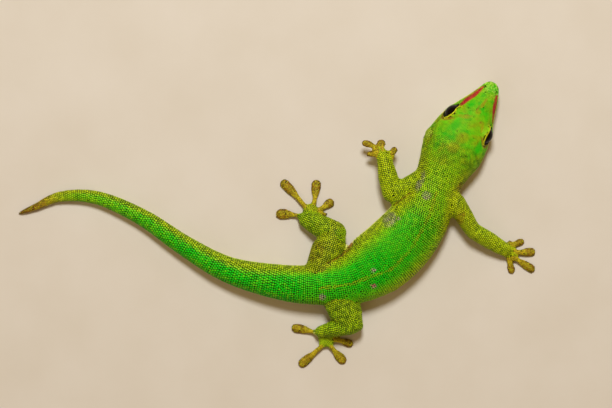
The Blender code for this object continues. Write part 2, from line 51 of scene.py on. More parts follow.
# The line of the back seen from above, from the snout tip to the tail tip, as in the solids
SPINE = [
    (87.1, 57.1), (83.3, 50.1), (78.8, 43.4), (72.3, 33.4), (66.9, 22.7), (61.9, 12.0), (56.6, 1.6),
    (48.8, -7.9), (39.7, -15.5), (28.6, -21.6), (14.6, -23.8), (-0.2, -22.6), (-19.7, -17.8),
    (-37.1, -8.2), (-53.6, 2.9), (-71.9, 10.9), (-86.8, 11.4), (-96.3, 7.4), (-104.0, 4.4),
]
BODY_LENGTH = 244.0
BODY_STEP = 2.0

# Sizes along the body as (distance from the snout tip, value)
HALF_WIDTH = [
    (0, 0.0), (0.5, 1.7), (2, 3.05), (5, 4.4), (10, 6.5), (15, 8.8), (20, 10.8), (25, 12.0),
    (31, 12.6), (36, 11.8), (41, 10.4), (46, 9.6), (52, 10.2), (60, 11.5), (68, 12.6),
    (78, 13.4), (86, 13.4), (94, 12.1), (101, 10.3), (110, 8.6), (118, 7.8), (130, 6.9),
    (150, 5.2), (170, 4.1), (190, 3.4), (210, 2.7), (225, 2.1), (236, 1.4), (242, 0.8), (244, 0.0),
]
BACK_HEIGHT = [
    (0, 6.6), (0.5, 7.6), (2, 8.5), (5, 9.5), (10, 11.1), (15, 12.7), (20, 14.0), (26, 14.9),
    (32, 15.1), (38, 14.5), (44, 14.1), (52, 15.1), (62, 16.3), (76, 17.0), (90, 16.4),
    (102, 14.8), (116, 13.0), (130, 11.5), (150, 9.3), (170, 7.5), (190, 6.3), (210, 5.1),
    (225, 4.0), (236, 2.9), (242, 1.9), (244, 1.0),
]
UNDERSIDE_HEIGHT = [
    (0, 6.4), (0.5, 5.3), (2, 4.4), (5, 3.7), (10, 3.1), (20, 2.4), (30, 2.0), (38, 1.6),
    (46, 1.0), (54, 0.2), (62, -0.6), (90, -0.8), (116, -0.6), (150, -0.5), (190, -0.4),
    (225, -0.3), (236, -0.2), (242, 0.0), (244, 0.9),
]
ROLL = [(0, 4), (38, 4), (60, 9), (84, 13), (100, 11), (120, 7), (150, 3), (175, 0), (244, 0)]
CROWN_TAPER = [(0, 0.1), (8, 0.22), (20, 0.28), (32, 0.2), (46, 0.1), (80, 0.06), (120, 0.04), (244, 0.0)]
WIDEST_SHARE = 0.38
FULLNESS = 2.3

# Head features, as in the solids
HEAD_END = 38.0
EYE_DISTANCE, EYE_OUT, EYE_HEIGHT = 19.9, 6.8, 8.7
EYE_RADIUS, EYE_SWELL = 3.8, 0.2
EYE_BULGE, BULGE_ANGLES, EYE_SEGMENTS = 0.03, (14, 48), (64, 48)
EYE_ELEVATION = 24.0
EYE_FORWARD = {1: 14.0, -1: 8.0}
LID_RADIUS, SOCKET_RADIUS = 4.35, 3.5
LID_OPENING = (3.6, 2.85)
LID_AHEAD = 1.06
EYE_REACH = 6.0
EAR_DISTANCE, EAR_ANGLE, EAR_SIZE = 32.0, -6.0, (0.95, 1.7)
NOSTRIL_DISTANCE, NOSTRIL_ANGLE = 3.3, 36.0
MOUTH_LINE = [(-3.0, 6.1), (0.0, 6.05), (6.0, 5.6), (13.0, 5.5), (20.0, 5.9), (25.0, 6.9)]
MOUTH_END = 24.5
# Rounded rises and grooves there, as height or depth, middle and width
LIP_RISE, MOUTH_GROOVE = (0.1, 0.55, 0.35), (0.42, 0.0, 0.16)
NOSTRIL_PIT, NOSTRIL_RIM = (0.6, 0.0, 0.38), (0.1, 0.75, 0.22)
EAR_DEPTH, EAR_RIM = 1.2, (0.14, 1.25, 0.22)
LID_RISE, LID_FOLD = (0.1, 1.14, 0.1), (0.14, 1.42, 0.1)
# Lids: how far they may leave their ball, where they end, blend into the head and turn into the socket, and the
# share by which the opening narrows to its front and rear corners, with the distances where that begins and ends
LID_SLACK, LID_ENDS, LID_BLEND, LID_EDGE = 0.15, (2.2, 7.5), (1.15, 1.75), (0.93, 1.03)
LID_FRONT, LID_REAR = (0.3, 0.2, 3.6), (0.12, 0.8, 3.4)
# Widths of the finer mesh round the features, for every round and feature
FINE_ROUNDS = (1.6, 1.0)
FINE_MOUTH, FINE_LID, FINE_LID_WIDTH, FINE_NOSTRIL, FINE_EAR = 0.7, 1.06, 0.28, 1.1, 2.1

# Digits, as in the solids, and what their smoothed pads are measured by to fill them out again
SHAFT_HALF_WIDTH = 0.95
PAD_BEGINS, PAD_FULL = 0.38, 0.72
DIGIT_RISE = [(0, 1.5), (0.25, 1.7), (0.5, 1.25), (0.7, 0.65), (1, 0.5)]
DIGIT_HALF_HEIGHT = [(0, 1.1), (0.4, 0.9), (0.65, 0.8), (0.85, 0.75), (1, 0.4)]
PAD_BAND, PAD_PERCENT, PAD_REACH, PAD_EDGE = (0.04, 0.12), 92, 1.03, 0.03

# Limbs: the joints, the half width and half height at the start, middle and end of both lengths, the
# palm's middle and half sizes, the lift, and the digits as root, middle, tip and pad half width
LIMBS = {
    "front_left": (
        [(57.4, 18.0, 8.0), (46.1, 12.6, 7.4), (43.2, 25.6, 8.2)],
        [(4.3, 4.2), (3.6, 3.8), (3.8, 3.7)], [(3.9, 3.7), (4.0, 3.6), (3.1, 2.4)],
        (43.2, 27.7, 7.4), (3.3, 2.4, 1.5), 5.9,
        [
            (45.8, 26.6, 46.6, 26.8, 47.6, 27.1, 0.6), (45.0, 27.0, 46.3, 28.6, 47.6, 31.2, 1.4),
            (43.0, 28.4, 42.1, 31.0, 41.7, 34.1, 1.75), (41.2, 28.4, 38.4, 31.7, 34.3, 33.0, 1.35),
            (41.0, 27.2, 38.8, 28.2, 36.2, 28.5, 1.2),
        ],
    ),
    "front_right": (
        [(71.8, 8.8, 7.4), (78.5, -2.2, 5.6), (91.4, -9.9, 3.2)],
        [(4.0, 4.2), (3.7, 3.9), (3.3, 3.6)], [(3.4, 3.6), (3.45, 3.4), (2.85, 2.4)],
        (93.0, -10.6, 1.5), (2.3, 3.1, 1.6), 0.0,
        [
            (91.9, -8.0, 93.0, -7.1, 94.1, -6.2, 0.6), (92.6, -8.6, 95.8, -7.6, 99.3, -6.4, 1.4),
            (93.8, -10.4, 98.2, -11.0, 103.8, -10.8, 1.7), (93.6, -12.0, 98.0, -14.8, 103.6, -18.4, 1.65),
            (92.5, -12.6, 93.6, -15.3, 94.6, -19.4, 1.45),
        ],
    ),
    "hind_left": (
        [(17.8, -17.5, 7.0), (23.3, -3.1, 6.4), (12.2, 2.0, 3.4)],
        [(6.2, 5.2), (6.8, 5.0), (4.9, 4.4)], [(4.8, 4.4), (4.6, 4.0), (3.5, 2.8)],
        (13.6, 5.2, 1.5), (3.2, 3.3, 1.7), 0.0,
        [
            (16.2, 4.8, 18.2, 4.5, 20.2, 4.2, 0.65), (16.4, 5.6, 19.3, 7.5, 22.8, 9.7, 1.75),
            (14.8, 6.8, 15.5, 12.0, 16.1, 18.0, 1.9), (11.8, 7.0, 7.6, 12.0, 2.0, 17.7, 1.9),
            (10.8, 3.4, 5.8, 4.2, -0.2, 4.4, 2.05),
        ],
    ),
    "hind_right": (
        [(25.4, -30.0, 6.8), (29.9, -40.1, 6.0), (17.6, -42.7, 3.6)],
        [(6.8, 4.8), (6.7, 4.8), (5.0, 4.3)], [(3.9, 4.3), (3.4, 3.7), (2.4, 2.4)],
        (19.8, -46.2, 1.5), (3.2, 2.8, 1.6), 0.0,
        [
            (22.0, -45.4, 23.8, -45.1, 25.4, -44.9, 0.6), (22.2, -46.0, 26.2, -46.6, 30.6, -48.1, 1.55),
            (21.0, -47.6, 23.6, -51.0, 27.4, -55.4, 1.85), (18.8, -48.0, 14.4, -52.0, 9.2, -56.6, 1.8),
            (17.6, -44.2, 13.0, -42.4, 6.1, -41.2, 1.75),
        ],
    ),
}

# Shares of paint on the upper length, lower length and palm of each limb, in the same order, and on its digits
LIMB_YELLOW = [(0.9, 0.9, 0.95), (0.95, 0.95, 1.0), (0.65, 0.5, 0.95), (0.4, 0.55, 0.4)], 0.0
LIMB_BROWN = [(0.0, 0.0, 0.0), (0.06, 0.0, 0.0), (0.26, 0.04, 0.0), (0.14, 0.0, 0.0)], 0.0
LIMB_GAP = [(0.18, 0.14, 0.1), (0.16, 0.14, 0.06), (0.36, 0.26, 0.16), (0.3, 0.24, 0.04)], 0.06

# The skin: how far it is grown to close the cuts and its coat's depth, each with its share on hands and feet, its
# mesh size, and its lowest level, with room for the scales under it
GROWN, THIN_GROWN = 0.22, 0.75
COAT_DEPTH, THIN_DEPTH = 0.15, 0.6
SKIN_CELL = 0.52
REST_DEPTH = 0.12
EVEN_ROUNDS, BLEND_ROUNDS, BLEND_REACH = 5, 20, (3.5, 8.5)
LOCATE_BLOCK = 8000

# Creases beside the left thigh, the left arm and the jowl, as lines on the back with their half widths, depth
# and share of brown painted shade in the crease, the small jowl behind the left cheek as an oval, and the upright
# folds of the left flank
CREASES = [
    ([(30.0, -7.6), (28.6, -9.8), (25.6, -12.4), (23.3, -13.8), (20.2, -15.1)], [1.5, 1.6, 1.2, 1.0, 0.8], 0.6, 0.9),
    ([(47.2, 8.0), (48.8, 9.3), (51.0, 11.0), (53.4, 12.9)], [0.9, 1.0, 0.9, 0.7], 0.5, 0.75),
    ([(62.6, 38.8), (61.8, 35.4), (59.8, 31.8)], [0.7, 0.8, 0.5], 0.35, 0.4),
]
JOWL, JOWL_RISE = (60.2, 36.2, 2.7, 1.2, 62), 0.5
FLANK_FOLDS, FOLD_DEPTH, FOLD_SPACING, FOLD_ANGLES = (78, 88, 103, 108), 0.24, 1.9, (8, 24)

# Angles round the body from its left side over the back: the edges of the belly, of what is seen from above, of
# the crown and of the loose skin on both sides
BELLY_LEFT, BELLY_RIGHT, UPPER_ANGLES = (-18, -40), (-162, -140), (-12, 8, 172, 192)
CROWN_ANGLES, LOOSE_LEFT, LOOSE_RIGHT = (10, 40, 140, 170), (62, 18), (128, 168)
# Distances where the flat scales of the crown end, and where those of the tail and loose skin begin
CROWN_ENDS, TAIL_BEGINS, LOOSE_BEGINS = (30, 46), (112, 135), 40

# Scale spacing in millimetres along the body, then on limbs, palms and digits
BODY_PITCH = [(0, 0.55), (6, 0.62), (14, 0.56), (24, 0.62), (34, 0.8), (44, 0.88), (90, 0.92), (112, 0.96),
              (135, 1.08), (190, 1.06), (215, 0.98), (232, 0.8), (244, 0.6)]
LIMB_PITCH, PALM_PITCH, DIGIT_PITCH = 0.86, 0.6, 0.49
ROW_SHARE, ROW_JITTER, ROW_FIRST, ROW_LEAST = 0.87, 0.05, 0.2, 5
SIZE_SPREAD = 0.06
SCALE_RISE, SCALE_SIDES = 0.25, 7
# How much of their spacing common scales fill, less on loose skin, what tail and belly add to their length and
# breadth, how much wider they stand on the belly, and how flat they are on crown, belly and digits
FILLED, LOOSE, LIMBS_LOOSE = 1.13, 0.04, 0.8
TAIL_STRETCH, BELLY_STRETCH, BELLY_SPACING = (0.1, -0.03), (0.12, 0.1), 0.18
CROWN_FLAT, BELLY_FLAT, DIGIT_FLAT = 0.35, 0.5, 0.2
# Levels and radii of a scale's rings: its sunk base, shoulder, crown and top
SCALE_RINGS = [(-0.4, 1.0), (0.46, 0.87), (0.88, 0.52), (1, 1)]
# How close scales may come, as a share of their sizes, and the cells that they are sorted in
LIP_ROOM, LID_ROOM, PAD_ROOM, ROW_ROOM, REST_ROOM, CROWD_CELL = 0.4, 0.5, 0.2, 0.7, 0.62, 1.3
# A place is filled afterwards when the next scale is this many spacings away
BARE_FROM = 0.6
# Moving crowded scales apart: rounds, neighbours heeded, share of the move, wanted distance as a share of their
# spaces, and how far away the skin is sought
EVENING_STEPS, NEIGHBOURS, EVENING_SHARE, EVENING_SPACE, EVENING_REACH = 6, 8, 0.4, 1.02, 2.0
# Lip plates over and under the mouth: where the rows start and end, a plate's half length and half height at the
# snout tip and what they lose per millimetre, and how far plates keep off the mouth line and rise
LIP_STARTS, LIP_END = {1: 0.6, -1: 1.5}, 22.5
LIP_LONG, LIP_HIGH, LIP_OFF = (1.12, 0.022), (0.54, 0.01), 0.16
# Rings of lid beads with their shifts, beads in a ring, one bead, and what is kept clear of common scales
LID_RINGS, LID_BEADS, LID_BEAD = ((1.09, 0.0), (1.21, 0.5)), 50, (0.24, 0.19, 0.14, 0.2)
CLEAR_LID, CLEAR_NOSTRIL, CLEAR_EAR = 1.24, 0.62, 1.2
# Plates under the toe pads: where on the digit they start, spacing, half length, share of its width, rise, space
PLATES_BEGIN, PLATE_SPACING, PLATE_LONG, PLATE_SHARE, PLATE_RISE, PLATE_SPACE = 0.3, 0.42, 0.25, 0.8, 0.1, 0.3
# Above this size a scale is bent to the skin
BENT_SIZE = 0.62
UV_CELL = 0.00125

# The paints in the order in which they are laid on, and what else a place of the skin is marked with
PAINT_ORDER = ("green", "yellow", "olive", "cream", "ochre", "brown", "lilac", "pale", "red", "lemon", "dark")
MARKS = (*PAINT_ORDER, "mottle", "speckle", "gap")
# Regions along the body, as the distances where each begins, is full, fades and ends
START, END = (-99, -98), (998, 999)
REGIONS = {
    "nose": (*START, 2, 8), "snout": (*START, 3, 9), "lips": (*START, 20, 26), "face": (*START, 22, 34),
    "head": (*START, 34, 46), "nape": (22, 34, 60, 76), "neck": (28, 40, 54, 66), "trunk": (38, 50, 112, 128),
    "tail": (108, 126, *END), "rear": (185, 225, *END), "end": (216, 236, *END), "tip": (224, 238, *END),
    "cream": (*START, 200, 225),
}
# What every region adds to the yellow, to the spread of single scales' colours and to the dark between them, which is
# dark skin and painted shade
YELLOW_SHARES = {"trunk left": 0.85, "tail left": 0.75, "trunk right": 0.7, "neck": 0.38, "neck left": 0.55,
                 "neck right": 0.3, "rear": 0.2}
SPECKLE_SHARES = {"all": 0.36, "nape": 0.24, "trunk side": 0.28, "tail side": 0.28, "limb": 0.2, "tail": 0.1,
                  "snout": 0.3, "digit": 0.3, "crown": -0.2, "green": -0.26, "belly": -0.3}
GAP_SHARES = {"all": 0.79, "trunk left": 0.24, "tail left": 0.24, "trunk right": -0.1, "tail right": -0.1,
              "tail": 0.06, "nape": 0.26, "crown": -0.3}
# The flanks: the left one's angles and how much higher it reaches on the tail, the right one's and what it loses on
# the rear back, with the distances of both changes
LEFT_FLANK, LEFT_HIGHER, RIGHT_FLANK, RIGHT_LOSS = (62, 18), (22, 118, 145), (110, 152), (0.65, 84, 106)
# Heights from which creases and patches show, and the edges of the brown on toe pads and of the lips
HIGH_LEVELS, TOP_LEVELS, PAD_RIM, LIPS_END, LIPS_BEGIN = (2.6, 4.2), (5.0, 8.0), (0.35, 0.85), (2.1, 1.5), (0.12, 0.3)
# Round the eyes: the lemon lid's edge and rise, the dark ring, and the edge and rear of the brown
LEMON_RINGS, LEMON_RISE, DARK_RING = (1.3, 1.16), (-0.2, 1.0), 1.04
LID_BROWN_RINGS, LID_BROWN_REAR = (1.6, 1.3), (0.9, 2.2)
# How much of the vivid green lies along the body, the crimson stripes and the line down the back
VIVID = [(0, 0.15), (30, 0.2), (46, 0.35), (60, 0.65), (75, 0.8), (90, 1.0), (110, 0.9), (135, 1.0),
         (165, 0.98), (190, 0.8), (208, 0.6), (222, 0.4), (232, 0.1), (244, 0.0)]
RED_STRIPES = [
    ([(73.5, 47.8), (76.9, 50.8), (79.2, 52.4), (82.6, 55.1)], [0.5, 0.95, 1.0, 0.45]),
    ([(86.6, 39.3), (86.9, 43.9), (87.2, 47.2), (87.7, 49.7), (88.0, 51.5)], [0.4, 0.65, 0.75, 0.62, 0.4]),
]
VERTEBRAL = [(63.5, 12.4), (61.6, 5.9), (59.3, 0.6), (56.5, -4.4), (53.4, -9.8), (45.8, -17.6), (29.4, -23.6),
             (17.8, -25.2)]
# Patches on the back as x, y, half length, half width, turn and share of paint: grey lilac spots with a red one,
# ochre, brighter green on the crown, and brown there and at the right shoulder, where ochre and brown stand partly
# for the red-brown skin of the armpit creases and partly for painted shade in them
LILAC = [
    (57.4, 17.4, 4.0, 1.2, 68, 1), (59.8, 11.7, 1.8, 1.6, 0, 1), (45.1, 2.3, 3.0, 2.3, 60, 1),
    (48.6, 2.6, 0.7, 0.6, 0, 1), (38.6, -18.0, 1.0, 0.8, 0, 1), (38.8, -24.2, 1.2, 0.9, 0, 1),
    (18.3, -28.8, 1.2, 1.2, 0, 1),
]
RED_SPOT = [(38.6, -24.0, 0.9, 0.7, 0, 0.55)]
OCHRE = [
    (82.6, 48.3, 2.2, 0.7, 52, 0.6), (80.4, 45.2, 1.3, 1.1, 0, 0.55), (74.6, 43.3, 2.6, 0.7, -12, 0.6),
    (82.0, 38.8, 2.2, 0.6, 80, 0.6), (74.0, 34.8, 2.6, 2.2, 0, 0.5), (70.2, 31.0, 2.6, 2.0, 40, 0.4),
    (66.4, 26.0, 2.6, 1.6, 60, 0.3), (15.8, -10.6, 4.5, 3.0, 60, 0.45),
    # Ochre at the right shoulder: red-brown crease skin and painted shade in the armpit
    (73.6, 3.2, 3.0, 1.6, 80, 0.8), (75.2, 12.4, 1.8, 1.0, 60, 0.4),
]
EMERALD = [
    (71.4, 40.0, 3.0, 1.8, 45, 0.75), (80.6, 30.8, 3.6, 1.5, 60, 0.8), (73.6, 43.9, 1.6, 1.0, 20, 0.6),
    (84.2, 44.6, 3.4, 1.0, 80, 0.5), (78.2, 49.2, 3.6, 0.9, 50, 0.45),
]
RUST = [
    (80.4, 46.6, 1.5, 0.4, 62, 0.55), (83.6, 49.6, 1.1, 0.35, 60, 0.5), (81.5, 40.9, 0.6, 0.45, 0, 0.6),
    # The last two are at the right shoulder: brown crease skin with painted shade in the armpit
    (76.4, 43.7, 1.8, 0.32, -12, 0.5), (73.4, 15.2, 2.0, 1.2, 50, 0.65), (71.9, 1.6, 1.3, 0.7, 60, 0.45),
]

# Colours as screen values
COLOURS = {
    "ground": (110, 190, 0), "ground warm": (132, 191, 2), "green": (2, 187, 0), "yellow": (184, 202, 4),
    "olive": (214, 178, 40), "brown": (146, 86, 28), "cream": (226, 226, 150), "red": (172, 0, 44),
    "lilac": (154, 150, 146), "ochre": (170, 136, 4), "lemon": (232, 236, 30), "pale": (206, 236, 150),
    # The bright scale colour is also the painted highlight on scale tops; the colour between the scales is their dark
    # skin and also painted shade
    "dark": (14, 12, 8), "bright_scale_and_painted_highlight": (220, 240, 40), "shade": (40, 80, 0), "between": (24, 36, 0),
    "pupil": (4, 3, 3), "iris": (7, 5, 4), "iris rays": (22, 13, 7), "eye edge": (8, 6, 5),
    "floor": (201, 193, 180), "floor pale": (206, 199, 188),
}
# The noises: lumps per metre, detail and roughness
NOISES = {
    "broad": (90, 3, 0.5), "middle": (210, 4, 0.6), "fine": (420, 2, 0.5), "between": (640, 2, 0.5),
    "relief": (3200, 3, 0.6), "rays": (1500, 4, 0.7), "floor": (30, 4, 0.5),
}
# Paints that lie unevenly: by what, and its levels from low to high with the shares there
UNEVEN = {
    **dict.fromkeys(("green", "yellow"), ("broad", 0.3, 0.7, 0.8, 1.2)), "pale": ("grain", 0.45, 0.7),
    **dict.fromkeys(("lilac", "ochre"), ("fine", 0.35, 0.6, 0.45, 1.2)),
}
# How steeply the dark between the scales sets in, dark skin and painted shade down the sides of each scale, and the
# height of the finest relief in metres
SINK = 2.2
FINE_RELIEF = 0.00003
PUPIL_EDGE, IRIS_EDGE = (20, 23), (36, 50)

# The camera looks straight down from this height over the middle of the back
CAMERA_HEIGHT, BACK_LEVEL, SENSOR = 1500.0, 7.0, 36.0
VIEW_WIDTH, VIEW_MIDDLE = 244.8, (11.8, 8.4)
ROOM_COLOUR, ROOM_STRENGTH = (1.0, 0.64, 0.26, 1.0), 0.34
# Round lamps as place, width, power and colour
LAMPS = {
    "key": ((0.05, 0.55, 0.95), 0.3, 11.6, (0.95, 0.97, 0.97)),
    "fill": ((-0.6, -0.5, 0.9), 0.8, 0.75, (1.0, 1.0, 1.0)),
}
FLOOR_SIZE = 3.0

# Kinds of strip, how far from each the skin is sought, and the pieces of the coat as kinds and distances
BODY, LIMB, PALM, DIGIT = range(4)
STRIP_REACH = {BODY: 1.3, LIMB: 1.1, PALM: 1.0, DIGIT: 0.7}
ANYWHERE = (-math.inf, math.inf)
PIECES = {
    "head": ((BODY,), -math.inf, 30), "nape": ((BODY,), 30, 60), "back": ((BODY,), 60, 92),
    "hips": ((BODY,), 92, 130), "tail": ((BODY,), 130, math.inf), "limbs": ((LIMB,), *ANYWHERE),
    "feet": ((PALM, DIGIT), *ANYWHERE),
}


def table_value(table, at):
    xs, ys = zip(*table)
    return np.interp(at, xs, ys)


def smooth(low, high, value):
    t = np.clip((value - low) / (high - low), 0.0, 1.0)
    return t * t * (3 - 2 * t)


def band(value, begins, full, fades, ends):
    """1 along a band of values and 0 off it, with soft ends."""
    return smooth(begins, full, value) * (1 - smooth(fades, ends, value))


def hump(value, height, middle, width):
    return height * np.exp(-((value - middle) / width) ** 2)


def unit(vectors):
    return vectors / np.maximum(np.linalg.norm(vectors, axis=-1, keepdims=True), 1e-9)


def distance_to(points, place):
    return np.linalg.norm(points - place, axis=1)


def through(points, count):
    """Evenly counted points of the Catmull Rom curve through a few points."""
    p = np.array(points, float)
    p = np.vstack([2 * p[0] - p[1], p, 2 * p[-1] - p[-2]])
    t = np.linspace(0, len(points) - 1, count)
    i = np.minimum(t.astype(int), len(points) - 2)
    f = (t - i)[:, None]
    p0, p1, p2, p3 = p[i], p[i + 1], p[i + 2], p[i + 3]
    return p1 + 0.5 * f * ((p2 - p0) + f * ((2 * p0 - 5 * p1 + 4 * p2 - p3) + f * (3 * p1 - 3 * p2 + p3 - p0)))


def lengths_along(points):
    return np.concatenate([[0.0], np.cumsum(np.linalg.norm(np.diff(points, axis=0), axis=1))])


# Strips: the lengths of the animal that rows of scales run round

class Strip:
    """A length of the animal: its middle line, the directions along, left and up, and its half sizes."""

    def __init__(self, kind, middle, along, left, up, wide, above, below, at, pitch):
        self.kind, self.middle, self.at = kind, middle, at
        self.along, self.left, self.up = (np.broadcast_to(v, middle.shape) for v in (along, left, up))
        self.wide, self.above, self.below = wide, above, below
        self.pitch = np.broadcast_to(pitch, at.shape)

    def read(self, word, at):
        """One of the strip's values or directions at a distance along it."""
        values = getattr(self, word)
        if values.ndim == 1:
            return np.interp(at, self.at, values)
        return np.stack([np.interp(at, self.at, values[:, k]) for k in range(3)], axis=-1)

    def ring(self, at, angles):
        """Points of the surface round the strip at one distance, and the way they face."""
        c, s = np.cos(angles), np.sin(angles)
        power = 2 / FULLNESS if self.kind == BODY else 1.0
        across, rise = (np.sign(v) * np.abs(v) ** power for v in (c, s))
        if self.kind == BODY:
            across = across * np.where(s > 0, 1 - table_value(CROWN_TAPER, at) * s * s, 1.0)
        words = ("wide", "above", "below", "left", "up", "middle")
        wide, above, below, left, up, middle = (self.read(word, at) for word in words)
        out = (across * wide)[:, None] * left + (rise * np.where(s > 0, above, below))[:, None] * up
        return middle + out, unit(out)


def body_strip():
    fine = through(SPINE, 40 * (len(SPINE) - 1) + 1)
    distance = lengths_along(fine)
    distance *= BODY_LENGTH / distance[-1]

    def flat(at):
        return np.stack([np.interp(at, distance, fine[:, k]) for k in (0, 1)], axis=-1)

    at = np.arange(0.0, BODY_LENGTH + 0.1, BODY_STEP)
    none = np.zeros(len(at))
    along = unit(np.column_stack([flat(at + 0.6) - flat(at - 0.6), none]))
    low, high = table_value(UNDERSIDE_HEIGHT, at), table_value(BACK_HEIGHT, at)
    height = low + WIDEST_SHARE * (high - low)
    level = np.column_stack([along[:, 1], -along[:, 0], none])
    roll = np.radians(table_value(ROLL, at))[:, None]
    left = level * np.cos(roll) + UPRIGHT * np.sin(roll)
    up = UPRIGHT * np.cos(roll) - level * np.sin(roll)
    wide = np.maximum(table_value(HALF_WIDTH, at), 0.3)
    middle = np.column_stack([flat(at), height])
    return Strip(BODY, middle, along, left, up, wide, high - height, height - low, at, table_value(BODY_PITCH, at))


def limb_strip(start, end, sizes):
    start, end = np.array(start), np.array(end)
    length = np.linalg.norm(end - start)
    reach = sizes[0][0], sizes[-1][0]
    at = np.linspace(-reach[0], length + reach[1], 24)
    along = (end - start) / length
    side = unit(np.cross(UPRIGHT, along))
    share = np.clip(at / length, 0, 1)
    over = np.where(at < 0, -at / reach[0], np.maximum(at - length, 0) / reach[1])
    cap = np.sqrt(np.maximum(1 - over ** 2, 0.02))
    wide, high = (np.interp(share, (0, 0.5, 1), [size[k] for size in sizes]) * cap for k in (0, 1))
    middle = start + at[:, None] * along
    return Strip(LIMB, middle, along, side, np.cross(along, side), wide, high, high, at, LIMB_PITCH)


def palm_strip(centre, sizes, wrist):
    along = unit(np.array([centre[0] - wrist[0], centre[1] - wrist[1], 0.0]))
    left = np.array([-along[1], along[0], 0.0])
    at = np.linspace(-0.9, 0.9, 7) * sizes[1]
    cap = np.sqrt(1 - (at / sizes[1]) ** 2)
    middle, high = np.array(centre) + at[:, None] * along, cap * sizes[2]
    return Strip(PALM, middle, along, left, UPRIGHT, cap * sizes[0], high, high, at, PALM_PITCH)


def digit_strip(row, lift):
    pad = row[6]
    flat = through([row[0:2], row[2:4], row[4:6]], 17)
    at = lengths_along(flat)
    none, share = np.zeros(len(at)), at / at[-1]
    along = unit(np.column_stack([np.gradient(flat, axis=0), none]))
    left = np.column_stack([-along[:, 1], along[:, 0], none])
    shaft = min(SHAFT_HALF_WIDTH, pad)
    wide = shaft + (pad - shaft) * smooth(PAD_BEGINS, PAD_FULL, share)
    to_tip = (1 - share) * at[-1]
    wide = wide * np.where(to_tip < pad, np.sqrt(np.maximum(1 - (1 - to_tip / pad) ** 2, 0.02)), 1.0)
    high = table_value(DIGIT_HALF_HEIGHT, share) * (0.75 if pad < 1 else 1.0)
    middle = np.column_stack([flat, table_value(DIGIT_RISE, share) + lift])
    return Strip(DIGIT, middle, along, left, UPRIGHT, wide, high, high, at, DIGIT_PITCH)


def all_strips():
    strips = [body_strip()]
    for joints, upper, lower, palm, palm_size, lift, digits in LIMBS.values():
        strips += [limb_strip(*joints[:2], upper), limb_strip(*joints[1:], lower)]
        strips.append(palm_strip(palm, palm_size, joints[2]))
        strips += [digit_strip(row, lift) for row in digits]
    return strips


STRIPS = all_strips()
TRUNK_STRIP = STRIPS[0]
STRIP_KIND = np.array([s.kind for s in STRIPS])
STRIP_LENGTH = np.array([s.at[-1] for s in STRIPS])
SAMPLE_STRIP = np.concatenate([np.full(len(s.at), k) for k, s in enumerate(STRIPS)])
SAMPLES = {
    word: np.concatenate([getattr(s, word) for s in STRIPS])
    for word in ("middle", "along", "left", "up", "wide", "above", "below", "at")
}
SHIFTS = {word: (SAMPLES["middle"] * SAMPLES[word]).sum(axis=1) for word in ("along", "left", "up")}


def locate(points):
    """For points near the skin: the strip they belong to, the distance along it, the angle round it and
    the height over its middle."""
    found = [np.empty(len(points)) for _ in range(4)]
    wide = SAMPLES["wide"]
    for start in range(0, len(points), LOCATE_BLOCK):
        part = slice(start, start + LOCATE_BLOCK)
        along, left, up = (points[part] @ SAMPLES[word].T - SHIFTS[word] for word in SHIFTS)
        tall = np.where(up > 0, SAMPLES["above"], SAMPLES["below"])
        best = ((left / wide) ** 2 + (up / tall) ** 2 + (along / wide) ** 2).argmin(axis=1)
        rows = np.arange(len(best))
        found[0][part] = SAMPLE_STRIP[best]
        found[1][part] = SAMPLES["at"][best] + along[rows, best]
        found[2][part] = np.arctan2(up[rows, best] / tall[rows, best], left[rows, best] / wide[best])
        found[3][part] = up[rows, best]
    return found[0].astype(int), *found[1:]


def strip_values(word, strip, at):
    """One of the strips' values or directions at distances along them."""
    values = np.empty((len(at), *getattr(TRUNK_STRIP, word).shape[1:]))
    for number in np.unique(strip):
        rows = strip == number
        values[rows] = STRIPS[number].read(word, at[rows])
    return values


def shares_of(table, digit_share):
    """A share for every strip, from a table of upper length, lower length and palm of each limb."""
    return np.array([0.0] + [share for row in table for share in (*row, *[digit_share] * 5)])


YELLOW_OF, BROWN_OF, GAP_OF = (shares_of(*shares) for shares in (LIMB_YELLOW, LIMB_BROWN, LIMB_GAP))


# Places of the head

def body_place(distance, left, height):
    """A point given by distance from the snout, offset to the left and height before the roll."""
    middle, sideways, up = (TRUNK_STRIP.read(word, distance) for word in ("middle", "left", "up"))
    return middle + left * sideways + (height - middle[2]) * up


def eye_axes(side):
    """The eyeball's centre and the directions it looks, forward and up, as in the solids."""
    centre = body_place(EYE_DISTANCE, side * EYE_OUT, EYE_HEIGHT)
    outward = unit(body_place(EYE_DISTANCE, side * (EYE_OUT + 1), EYE_HEIGHT) - centre)
    upward = unit(body_place(EYE_DISTANCE, side * EYE_OUT, EYE_HEIGHT + 1) - centre)
    ahead = -TRUNK_STRIP.read("along", EYE_DISTANCE)
    rise, turn = math.radians(EYE_ELEVATION), math.radians(EYE_FORWARD[side])
    look = outward * math.cos(rise) + upward * math.sin(rise)
    look = unit(look * math.cos(turn) + ahead * math.sin(turn))
    top = unit(upward - look * np.dot(upward, look))
    return centre, look, side * unit(np.cross(look, top)), top


def head_place(distance, angle, side):
    """A point of the head's surface and the way it faces."""
    turned = math.radians(angle if side > 0 else 180 - angle)
    points, facing = TRUNK_STRIP.ring(distance, np.array([turned]))
    return points[0], facing[0]


EYES = {side: eye_axes(side) for side in SIDES}
EARS = {side: head_place(EAR_DISTANCE, EAR_ANGLE, side) for side in SIDES}
NOSTRILS = {side: head_place(NOSTRIL_DISTANCE, NOSTRIL_ANGLE, side) for side in SIDES}


def lid_narrow(ahead):
    """How the eye opening narrows towards its front and rear corners."""
    return 1 - LID_FRONT[0] * smooth(*LID_FRONT[1:], ahead) - LID_REAR[0] * smooth(*LID_REAR[1:], -ahead)


